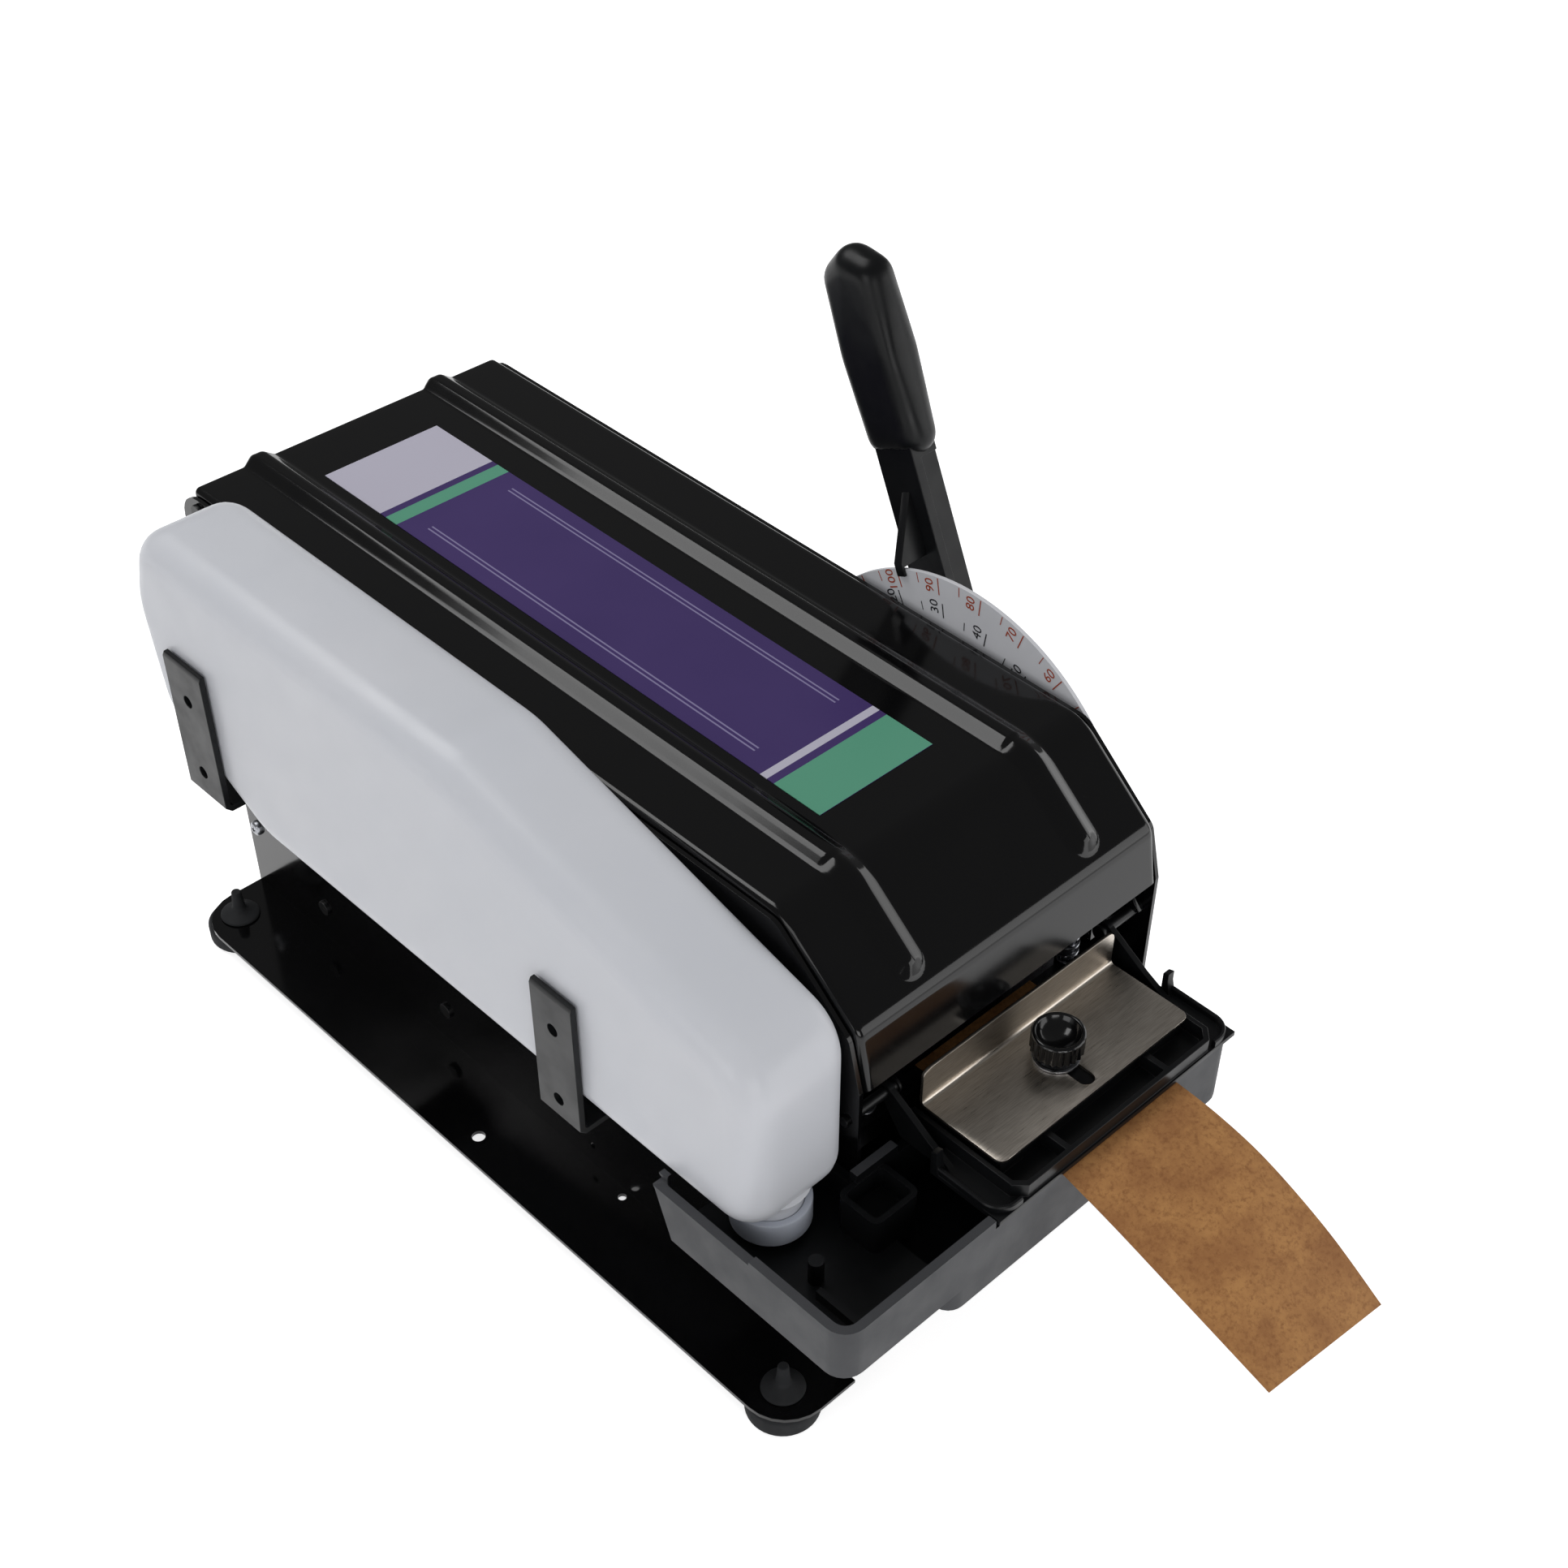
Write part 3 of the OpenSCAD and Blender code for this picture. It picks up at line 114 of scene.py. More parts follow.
def principled(name, hex_value, **sockets):
    """A material with one Principled shader, its tree and the shader."""
    material = bpy.data.materials.new(name)
    material.use_nodes = True
    tree = material.node_tree
    tree.nodes.clear()
    values = {"Base Color": rgba(hex_value)}
    values.update({key.replace("_", " "): value for key, value in sockets.items()})
    shader = put(tree, "ShaderNodeBsdfPrincipled", values)
    put(tree, "ShaderNodeOutputMaterial", {"Surface": shader.outputs["BSDF"]})
    return material, tree, shader


def place(tree, stretch=(1.0, 1.0, 1.0)):
    """Object coordinates in millimetres, stretched along the axes."""
    coords = put(tree, "ShaderNodeTexCoord").outputs["Object"]
    scale = [1000 * value for value in stretch]
    inputs = {"Vector": coords, "Scale": scale}
    return put(tree, "ShaderNodeMapping", inputs).outputs["Vector"]


def noise(tree, size_mm, stretch=(1.0, 1.0, 1.0), detail=3.0, rough=0.5):
    """Noise whose blobs are about size_mm across."""
    inputs = {"Vector": place(tree, stretch), "Scale": 1 / size_mm, "Detail": detail, "Roughness": rough}
    return put(tree, "ShaderNodeTexNoise", inputs).outputs["Fac"]


def bumped(tree, shader, height, strength, depth_mm):
    """Gives a shader a relief of at most depth_mm."""
    inputs = {"Height": height, "Strength": strength, "Distance": depth_mm * MM}
    bump = put(tree, "ShaderNodeBump", inputs)
    tree.links.new(bump.outputs["Normal"], shader.inputs["Normal"])


def tinted(tree, shader, factor, first, second):
    """Colours a shader between two hex values."""
    inputs = {0: factor, 6: rgba(first), 7: rgba(second)}
    colour = put(tree, "ShaderNodeMix", inputs, data_type="RGBA").outputs[2]
    tree.links.new(colour, shader.inputs["Base Color"])


def roughened(tree, shader, pattern, low, high):
    """Varies a shader's roughness with the middle values of a pattern."""
    inputs = {"Value": pattern, "From Min": 0.3, "From Max": 0.7, "To Min": low, "To Max": high}
    value = put(tree, "ShaderNodeMapRange", inputs).outputs["Result"]
    tree.links.new(value, shader.inputs["Roughness"])


# ---- Materials ----
def gloss_enamel(settings):
    """Baked gloss enamel on sheet steel: deep black, with a faint orange peel that softens reflections."""
    material, tree, shader = principled(
        "black gloss enamel", hex_of(settings.enamel), Roughness=0.1, Specular_IOR_Level=0.42
    )
    roughened(tree, shader, noise(tree, 45, detail=4), 0.08, 0.15)
    bumped(tree, shader, noise(tree, 6.0, detail=1), 0.06, 0.03)
    return material


def satin_enamel():
    """Powder coat on brackets and straps: satin black with a fine pebble."""
    material, tree, shader = principled(
        "black powder coat", "#0c0d0e", Roughness=0.36, Specular_IOR_Level=0.35
    )
    roughened(tree, shader, noise(tree, 20), 0.3, 0.44)
    bumped(tree, shader, noise(tree, 0.9, detail=2), 0.18, 0.05)
    return material


def brushed_stainless():
    """Stainless sheet with a brushed grain along X: soft streaked reflections."""
    # The grain is drawn at 0.5 mm, coarser than the real one, so that it shows
    material, tree, shader = principled(
        "brushed stainless steel", "#cbc2b7", Metallic=1.0, Roughness=0.36, Anisotropic=0.5
    )
    streaks = noise(tree, 0.5, stretch=(0.05, 1.0, 1.0), detail=4, rough=0.65)
    inputs = {"Value": streaks, "From Min": 0.35, "From Max": 0.65}
    contrast = put(tree, "ShaderNodeMapRange", inputs).outputs["Result"]
    tinted(tree, shader, contrast, "#bdb4a9", "#d9d1c6")
    roughened(tree, shader, streaks, 0.27, 0.34)
    bumped(tree, shader, streaks, 0.08, 0.02)
    return material


def zinc_steel():
    """Zinc-plated turned and stamped steel: bright with cloudy spangle."""
    material, tree, shader = principled("zinc-plated steel", "#a9abb0", Metallic=1.0, Roughness=0.3)
    cloud = noise(tree, 6, detail=4)
    tinted(tree, shader, cloud, "#93959a", "#bcbec3")
    roughened(tree, shader, cloud, 0.24, 0.4)
    bumped(tree, shader, noise(tree, 0.6, detail=2), 0.15, 0.03)
    return material


def moulded_black():
    """Moulded black plastic with a spark-eroded satin skin."""
    material, tree, shader = principled(
        "moulded black plastic", "#0e0f10", Roughness=0.34, Specular_IOR_Level=0.24
    )
    tinted(tree, shader, noise(tree, 30, detail=4), "#0c0d0e", "#131416")
    roughened(tree, shader, noise(tree, 12), 0.28, 0.42)
    bumped(tree, shader, noise(tree, 0.8, detail=2), 0.2, 0.05)
    return material


def polished_black():
    """Polished black plastic of the knob: deep black with clear, slightly soft reflections."""
    material, tree, shader = principled("polished black plastic", "#0a0a0b", Roughness=0.14)
    roughened(tree, shader, noise(tree, 5, detail=3), 0.1, 0.2)
    bumped(tree, shader, noise(tree, 1.5), 0.1, 0.03)
    return material


def moulded_grey(settings):
    """Moulded charcoal plastic of the tank, matt from its coarse tool finish."""
    material, tree, shader = principled(
        "moulded charcoal plastic", hex_of(settings.tank), Roughness=0.55, Specular_IOR_Level=0.35
    )
    mottle = 6
    darker, lighter = hex_of(settings.tank, -mottle), hex_of(settings.tank, mottle)
    tinted(tree, shader, noise(tree, 40, detail=5), darker, lighter)
    roughened(tree, shader, noise(tree, 15), 0.48, 0.62)
    bumped(tree, shader, noise(tree, 1.1, detail=2), 0.35, 0.08)
    return material


def milky_plastic(name, hex_value, cloudy_hex):
    """Blow-moulded natural polyethylene: waxy, lets light in, and is slightly uneven in its wall."""
    material, tree, shader = principled(
        name, hex_value, Roughness=0.36, Subsurface_Weight=0.35, Subsurface_Scale=0.012,
        Subsurface_Radius=(1.0, 1.0, 1.0), Specular_IOR_Level=0.45,
    )
    tinted(tree, shader, noise(tree, 90, detail=2), hex_value, cloudy_hex)
    roughened(tree, shader, noise(tree, 18, detail=3), 0.3, 0.42)
    bumped(tree, shader, noise(tree, 14, detail=3), 0.18, 0.5)
    return material


def kraft_paper():
    """Kraft paper of gummed tape: brown pulp with broad mottling, fine flecks and a slight cockle."""
    material, tree, shader = principled("kraft paper", "#9a6a38", Roughness=0.6, Specular_IOR_Level=0.3)
    mottling, specks = noise(tree, 20, detail=8, rough=0.7), noise(tree, 2.2, detail=6, rough=0.7)
    inputs = {"Value": mottling, "From Min": 0.38, "From Max": 0.62}
    cloud = put(tree, "ShaderNodeMapRange", inputs).outputs["Result"]
    inputs = {"Value": specks, "From Min": 0.48, "From Max": 0.68, "To Max": 0.75}
    flecks = put(tree, "ShaderNodeMapRange", inputs).outputs["Result"]
    inputs = {0: cloud, 6: rgba("#9f6d40"), 7: rgba("#b98650")}
    pulp = put(tree, "ShaderNodeMix", inputs, data_type="RGBA").outputs[2]
    inputs = {0: flecks, 6: pulp, 7: rgba("#865630")}
    paper = put(tree, "ShaderNodeMix", inputs, data_type="RGBA").outputs[2]
    tree.links.new(paper, shader.inputs["Base Color"])
    bumped(tree, shader, noise(tree, 14, detail=4), 0.25, 0.3)
    return material


def wound_paper():
    """Edge of the wound roll: fine rings of paper layers round the roll's axis."""
    material, tree, shader = principled("wound kraft paper", "#a3713d", Roughness=0.7)
    low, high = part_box("tape_roll")
    centre = (low + high) / 2 * 1000
    coords = put(tree, "ShaderNodeTexCoord").outputs["Object"]
    inputs = {"Vector": coords, "Scale": (0.0, 1000.0, 1000.0), "Location": (0.0, -centre.y, -centre.z)}
    flat = put(tree, "ShaderNodeMapping", inputs).outputs["Vector"]
    radius = put(tree, "ShaderNodeVectorMath", {0: flat}, operation="LENGTH").outputs["Value"]
    # A layer is 0.15 mm thick, and is drawn ten times coarser, so that it shows
    per_mm = 4.2
    rings = put(tree, "ShaderNodeMath", {0: radius, 1: per_mm}, operation="MULTIPLY").outputs[0]
    wave = put(tree, "ShaderNodeMath", {0: rings}, operation="SINE").outputs[0]
    inputs = {"Value": wave, "From Min": -1.0, "From Max": 1.0, "To Min": 0.2, "To Max": 0.8}
    shade = put(tree, "ShaderNodeMapRange", inputs).outputs["Result"]
    tinted(tree, shader, shade, "#8d6136", "#b98a55")
    bumped(tree, shader, wave, 0.2, 0.1)
    return material


def core_board():
    """Wound grey-brown board of the roll's core."""
    material, tree, shader = principled("core board", "#a48a66", Roughness=0.85)
    tinted(tree, shader, noise(tree, 3, detail=5), "#94795a", "#b39a76")
    bumped(tree, shader, noise(tree, 1.2, detail=4), 0.4, 0.15)
    return material


def rubber(name, hex_value):
    """Moulded rubber: matt, with a faint bloom."""
    material, tree, shader = principled(name, hex_value, Roughness=0.78, Specular_IOR_Level=0.3)
    roughened(tree, shader, noise(tree, 8, detail=4), 0.7, 0.88)
    bumped(tree, shader, noise(tree, 0.9, detail=3), 0.35, 0.08)
    return material


def sintered_bronze():
    """Sintered bronze bushes: warm, fine-grained metal."""
    material, tree, shader = principled("sintered bronze", "#9c7a48", Metallic=1.0, Roughness=0.45)
    tinted(tree, shader, noise(tree, 1.0, detail=4), "#8a6a3c", "#ad8a56")
    bumped(tree, shader, noise(tree, 0.4, detail=3), 0.3, 0.03)
    return material


def beech():
    """Beech brush backs: pale wood with a fine straight grain along X."""
    material, tree, shader = principled("beech", "#cdb48e", Roughness=0.6)
    grain = noise(tree, 1.2, stretch=(0.08, 1.0, 1.0), detail=5)
    tinted(tree, shader, grain, "#b99b72", "#dac6a4")
    bumped(tree, shader, grain, 0.25, 0.08)
    return material


def brush_hair():
    """Stiff dark brush hair."""
    material, tree, shader = principled("brush hair", "#2b2622", Roughness=0.55)
    tinted(tree, shader, noise(tree, 2, detail=2), "#1f1b18", "#3a332c")
    return material


def dial_paint():
    """White screen print on the dial, with slight unevenness and handling marks."""
    material, tree, shader = principled("dial print ground", "#d9dade", Roughness=0.4)
    tinted(tree, shader, noise(tree, 35, detail=5), "#cfd0d6", "#e2e3e7")
    roughened(tree, shader, noise(tree, 10, detail=4), 0.34, 0.5)
    bumped(tree, shader, noise(tree, 0.7), 0.08, 0.03)
    return material


def print_ink(name, hex_value):
    """Screen-printed ink: a thin satin film."""
    material, tree, shader = principled(name, hex_value, Roughness=0.5)
    roughened(tree, shader, noise(tree, 4, detail=3), 0.42, 0.6)
    bumped(tree, shader, noise(tree, 0.4), 0.15, 0.02)
    return material


def label_film():
    """Printed vinyl label under clear film: plain fields of colour and thin lines, no words."""
    material, tree, shader = principled("printed label film", "#46356b", Roughness=0.2)
    position = put(tree, "ShaderNodeSeparateXYZ", {"Vector": place(tree)})
    across, along = position.outputs["X"], position.outputs["Y"]
    left, right = LABEL_LOW.x * 1000, LABEL_HIGH.x * 1000
    front, rear = LABEL_LOW.y * 1000, LABEL_HIGH.y * 1000

    def band(value, low, high):
        """1 between two places, in millimetres, and 0 elsewhere."""
        above = put(tree, "ShaderNodeMath", {0: value, 1: low}, operation="GREATER_THAN").outputs[0]
        below = put(tree, "ShaderNodeMath", {0: value, 1: high}, operation="LESS_THAN").outputs[0]
        return put(tree, "ShaderNodeMath", {0: above, 1: below}, operation="MULTIPLY").outputs[0]

    def printed(ground, mask, hex_value):
        """The ground with another colour where the mask is 1."""
        inputs = {0: mask, 6: ground, 7: rgba(hex_value)}
        return put(tree, "ShaderNodeMix", inputs, data_type="RGBA").outputs[2]

    ground = printed(rgba("#403167"), noise(tree, 60), "#4c3b73")
    fields = [
        (rear - 42, rear, "#c6c3d3"), (rear - 54, rear - 46, "#5fa488"),
        (front, front + 26, "#5fa488"), (front + 30, front + 34, "#c6c3d3"),
    ]
    for low, high, hex_value in fields:
        ground = printed(ground, band(along, low, high), hex_value)
    margin, gap, line_width = 8, 2.2, 0.8
    length = band(along, front + 46, rear - 66)
    for start in (left + margin, left + margin + gap, right - margin - gap, right - margin):
        line = band(across, start, start + line_width)
        mask = put(tree, "ShaderNodeMath", {0: line, 1: length}, operation="MULTIPLY").outputs[0]
        ground = printed(ground, mask, "#8d84ad")
    tree.links.new(ground, shader.inputs["Base Color"])
    bumped(tree, shader, noise(tree, 22, detail=2), 0.1, 0.2)
    return material


def paper_floor():
    """Seamless paper: white to the camera and in reflections, and a soft receiver of shadow."""
    material = bpy.data.materials.new("white paper sweep")
    material.use_nodes = True
    tree = material.node_tree
    tree.nodes.clear()
    paper = put(tree, "ShaderNodeBsdfDiffuse", {"Color": rgba("#f4f4f5")})
    glow = put(tree, "ShaderNodeEmission", {"Color": rgba("#ffffff"), "Strength": 0.72})
    white = put(tree, "ShaderNodeAddShader", {0: paper.outputs["BSDF"], 1: glow.outputs["Emission"]})
    path = put(tree, "ShaderNodeLightPath").outputs
    rays = {0: path["Is Camera Ray"], 1: path["Is Glossy Ray"]}
    seen = put(tree, "ShaderNodeMath", rays, operation="MAXIMUM")
    rays = {0: seen.outputs[0], 1: path["Is Transmission Ray"]}
    seen = put(tree, "ShaderNodeMath", rays, operation="MAXIMUM")
    both = put(tree, "ShaderNodeMixShader", {0: seen.outputs[0], 1: paper.outputs[0], 2: white.outputs[0]})
    put(tree, "ShaderNodeOutputMaterial", {"Surface": both.outputs[0]})
    return material


# ---- Mesh helpers ----
def eased(share, ease):
    """A straight rise from 0 to 1 with rounded ends."""
    if share < ease:
        return share**2 / (2 * ease * (1 - ease))
    if share > 1 - ease:
        return 1 - (1 - share) ** 2 / (2 * ease * (1 - ease))
    return (share - ease / 2) / (1 - ease)


def corner(before, at, after, radius, steps):
    """Points of the arc that rounds one corner of a path in the plane."""
    a, b, c = Vector(before), Vector(at), Vector(after)
    u, v = (a - b).normalized(), (c - b).normalized()
    half = u.angle(v) / 2
    if radius <= 0 or half > math.pi / 2 - 1e-4:
        return [b]
    reach = radius / math.tan(half)
    centre = b + (u + v).normalized() * radius / math.sin(half)
    start, end = b + u * reach - centre, b + v * reach - centre
    turn = start.angle_signed(end)
    return [centre + Matrix.Rotation(-turn * i / steps, 2) @ start for i in range(steps + 1)]


def rounded_path(points, radii, steps):
    """An open path with rounded corners."""
    path = [Vector(points[0])]
    for i in range(1, len(points) - 1):
        path += corner(points[i - 1], points[i], points[i + 1], radii[i], steps)
    return path + [Vector(points[-1])]


def rounded_loop(points, radii, steps):
    """A closed path with rounded corners."""
    count = len(points)
    loop = []
    for i in range(count):
        loop += corner(points[i - 1], points[i], points[(i + 1) % count], radii[i], steps)
    return loop


def resample(path, step):
    """The same path with points no further apart than step."""
    result = [path[0]]
    for a, b in zip(path, path[1:]):
        count = max(1, math.ceil((b - a).length / step))
        result += [a.lerp(b, i / count) for i in range(1, count + 1)]
    return result


def inset_loop(points, distance):
    """Corners of a closed outline, wound anticlockwise, moved inwards."""
    result = []
    count = len(points)
    for i in range(count):
        p = Vector(points[i])
        a = (p - Vector(points[i - 1])).normalized()
        b = (Vector(points[(i + 1) % count]) - p).normalized()
        na, nb = Vector((-a.y, a.x)), Vector((-b.y, b.x))
        result.append(p + (na + nb) * distance / (1 + na.dot(nb)))
    return result


def run_lengths(path):
    """Length of a path up to each of its points."""
    lengths = [0.0]
    for a, b in zip(path, path[1:]):
        lengths.append(lengths[-1] + (Vector(b) - Vector(a)).length)
    return lengths


def grid_faces(rows, columns, closed=False):
    """Faces between rows of points. Closed rows are rings."""
    faces = []
    for i in range(rows - 1):
        for j in range(columns if closed else columns - 1):
            k, m = i + 1, (j + 1) % columns
            faces.append((i * columns + j, k * columns + j, k * columns + m, i * columns + m))
    return faces


def tube_faces(rings, sides):
    """Faces of a tube of rings, closed at both ends."""
    last = (rings - 1) * sides
    return grid_faces(rings, sides, closed=True) + [tuple(range(sides)), tuple(range(last, last + sides))]


def plain(name, shape):
    """A mesh of a finished bmesh, which is freed."""
    mesh = bpy.data.meshes.new(name)
    shape.to_mesh(mesh)
    shape.free()
    return mesh


def build_mesh(name, points, faces, outward=True):
    """A mesh of points and faces, turned outwards where it is closed."""
    mesh = bpy.data.meshes.new(name)
    mesh.from_pydata([tuple(p) for p in points], [], faces)
    if outward:
        shape = bmesh.new()
        shape.from_mesh(mesh)
        bmesh.ops.remove_doubles(shape, verts=shape.verts, dist=WELD / 2)
        bmesh.ops.recalc_face_normals(shape, faces=shape.faces)
        shape.to_mesh(mesh)
        shape.free()
    return mesh


def show(name, mesh, material):
    """A new object of a mesh in one material."""
    piece = bpy.data.objects.new(name, mesh)
    bpy.context.scene.collection.objects.link(piece)
    mesh.materials.clear()
    mesh.materials.append(material)
    return piece


def settle(piece, degrees=38):
    """Applies a piece's modifiers and shades it smooth where faces meet at less than the angle."""
    graph = bpy.context.evaluated_depsgraph_get()
    graph.update()
    mesh = bpy.data.meshes.new_from_object(piece.evaluated_get(graph))
    material = piece.data.materials[0]
    piece.modifiers.clear()
    piece.data = mesh
    mesh.materials.clear()
    mesh.materials.append(material)
    mesh.polygons.foreach_set("use_smooth", [True] * len(mesh.polygons))
    mesh.set_sharp_from_angle(angle=math.radians(degrees))
    return piece


def deliver(piece, body, slot, *nodes):
    """Puts a finished piece on its body and hides what it stands for. The slot is taken but not used."""
    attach(piece, body)
    if nodes:
        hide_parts(*nodes)
    return piece


def body_name(node):
    """The body that carries a CAD node."""
    for name, nodes in frame["record"]["behaviour"]["bodies"].items():
        if node in nodes:
            return name
    raise ValueError(f"{node} is in no body")


def slot_name(node):
    """The material slot of a CAD node."""
    for part in frame["record"]["subparts"]:
        if part["node"] == node:
            return part["material_slot"]
    raise ValueError(f"{node} has no slot")


def merged(node):
    """A bmesh of a CAD node, with its loose triangles joined."""
    shape = bmesh.new()
    shape.from_mesh(frame["nodes"][node].data)
    bmesh.ops.remove_doubles(shape, verts=shape.verts, dist=WELD)
    return shape


def softened(node, material, width_mm, segments=2):
    """A copy of a CAD node with its faces merged and its edges broken, as moulded and pressed edges are."""
    flat_below, edge_above = math.radians(0.6), math.radians(40)
    shape = merged(node)
    bmesh.ops.dissolve_limit(
        shape, angle_limit=flat_below, verts=shape.verts, edges=shape.edges, delimit={"NORMAL"}
    )
    for face in shape.faces:
        face.smooth = True
    piece = show(f"soft_{node}", plain(f"soft_{node}", shape), material)
    bevel = piece.modifiers.new("broken edges", "BEVEL")
    bevel.width = width_mm * MM
    bevel.segments = segments
    bevel.limit_method = "ANGLE"
    bevel.angle_limit = edge_above
    bevel.use_clamp_overlap = True
    weighted = piece.modifiers.new("flat faces", "WEIGHTED_NORMAL")
    weighted.keep_sharp = True
    settle(piece)
    return deliver(piece, body_name(node), slot_name(node), node)


def turned(name, profile, centre, material, steps=64, reach_at=None):
    """A piece turned about an upright axis. Its profile holds (radius, height) in millimetres.

    reach_at may give another radius for a (radius, height, angle), as flutes need.
    """
    points = []
    for radius, height in profile:
        for i in range(steps):
            angle = 2 * math.pi * i / steps
            reach = reach_at(radius, height, angle) if reach_at else radius
            spot = Vector((reach * math.cos(angle), reach * math.sin(angle), height))
            points.append(Vector(centre) + spot * MM)
    return show(name, build_mesh(name, points, tube_faces(len(profile), steps)), material)


def joined(name, pieces, material):
    """One piece of several, which go away."""
    shape = bmesh.new()
    for piece in pieces:
        shape.from_mesh(piece.data)
        bpy.data.objects.remove(piece)
    return show(name, plain(name, shape), material)


# ---- Geometry Nodes ----
def repeat_tree(name, material):
    """A tree that sets a prototype on every point of a mesh, turned along the point's facing."""
    tree = bpy.data.node_groups.new(name, "GeometryNodeTree")
    tree.interface.new_socket("Geometry", in_out="INPUT", socket_type="NodeSocketGeometry")
    tree.interface.new_socket("Prototype", in_out="INPUT", socket_type="NodeSocketObject")
    tree.interface.new_socket("Size", in_out="INPUT", socket_type="NodeSocketFloat")
    tree.interface.new_socket("Tilt", in_out="INPUT", socket_type="NodeSocketFloat")
    tree.interface.new_socket("Geometry", in_out="OUTPUT", socket_type="NodeSocketGeometry")
    given = put(tree, "NodeGroupInput").outputs
    source = put(tree, "GeometryNodeObjectInfo", {"Object": given["Prototype"]})
    facing = put(tree, "GeometryNodeInputNamedAttribute", {"Name": "facing"}, data_type="FLOAT_VECTOR")
    inputs = {0: (1.0, 1.0, 0.0), "Scale": given["Tilt"]}
    most = put(tree, "ShaderNodeVectorMath", inputs, operation="SCALE").outputs[0]
    least = put(tree, "ShaderNodeVectorMath", {0: most, "Scale": -1.0}, operation="SCALE").outputs[0]
    inputs = {"Min": least, "Max": most, "Seed": 7}
    lean = put(tree, "FunctionNodeRandomValue", inputs, data_type="FLOAT_VECTOR")
    inputs = {0: facing.outputs["Attribute"], 1: lean.outputs["Value"]}
    leaning = put(tree, "ShaderNodeVectorMath", inputs, operation="ADD")
    turn = put(tree, "FunctionNodeAlignRotationToVector", {"Vector": leaning.outputs[0]}, axis="Z")
    placed = put(
        tree, "GeometryNodeInstanceOnPoints",
        {"Points": given["Geometry"], "Instance": source.outputs["Geometry"],
         "Rotation": turn.outputs["Rotation"], "Scale": given["Size"]},
    )
    real = put(tree, "GeometryNodeRealizeInstances", {"Geometry": placed.outputs["Instances"]})
    inputs = {"Geometry": real.outputs["Geometry"], "Material": material}
    finished = put(tree, "GeometryNodeSetMaterial", inputs)
    put(tree, "NodeGroupOutput", {"Geometry": finished.outputs["Geometry"]})
    return tree


def repeated(name, prototype, places, material, tilt=0.0):
    """Copies of a prototype at (point, facing) places, as one plain mesh. The prototype goes away."""
    mesh = bpy.data.meshes.new(name)
    mesh.from_pydata([tuple(point) for point, _ in places], [], [])
    facing = mesh.attributes.new("facing", "FLOAT_VECTOR", "POINT")
    facing.data.foreach_set("vector", [value for _, way in places for value in way])
    piece = show(name, mesh, material)
    tree = repeat_tree(name + " layout", material)
    modifier = piece.modifiers.new("layout", "NODES")
    modifier.node_group = tree
    values = {"Prototype": prototype, "Size": 1.0, "Tilt": tilt}
    for item in tree.interface.items_tree:
        if item.in_out == "INPUT" and item.name in values:
            modifier[item.identifier] = values[item.name]
    settle(piece)
    facing = piece.data.attributes.get("facing")
    if facing:
        piece.data.attributes.remove(facing)
    bpy.data.objects.remove(prototype)
    return piece


# ---- Settings ----
class DispenserFinish(bpy.types.PropertyGroup):
    """Colours of the main finishes."""

    enamel: FloatVectorProperty(
        name="Enamel", description="Colour of the body's enamel", subtype="COLOR_GAMMA",
        default=(0.03, 0.03, 0.035), min=0.0, max=1.0,
    )
    tank: FloatVectorProperty(
        name="Tank", description="Colour of the tank's plastic", subtype="COLOR_GAMMA",
        default=(0.24, 0.245, 0.255), min=0.0, max=1.0,
    )


class DispenserSizes(bpy.types.PropertyGroup):
    """Sizes of the fine shapes."""

    rib_height: FloatProperty(
        name="Rib height", description="Height of the ribs pressed in the cover", default=0.0036,
        min=0.001, max=0.005, unit="LENGTH",
    )
    rib_width: FloatProperty(
        name="Rib width", description="Width of a pressed rib at its foot", default=0.0175,
        min=0.01, max=0.024, unit="LENGTH",
    )
    bottle_edge: FloatProperty(
        name="Bottle edge", description="Radius of the bottle's edges", default=0.014,
        min=0.008, max=0.018, unit="LENGTH",
    )
    flutes: IntProperty(
        name="Flutes", description="Flutes round the knob", default=22, min=12, max=40,
    )
    bristles: IntProperty(
        name="Bristles", description="Bristles along one row of a brush", default=52, min=10, max=90,
    )


def finish_of(context):
    """The colours in use."""
    return context.scene.dispenser_finish


def sizes_of(context):
    """The sizes in use."""
    return context.scene.dispenser_sizes


def hex_of(colour, shift=0):
    """Hex value of a gamma colour, made lighter or darker by a number of levels of 255."""
    levels = [min(max(round(value * 255) + shift, 0), 255) for value in colour]
    return "#" + "".join(f"{level:02x}" for level in levels)


# ---- Operators ----
MATERIALS = {}


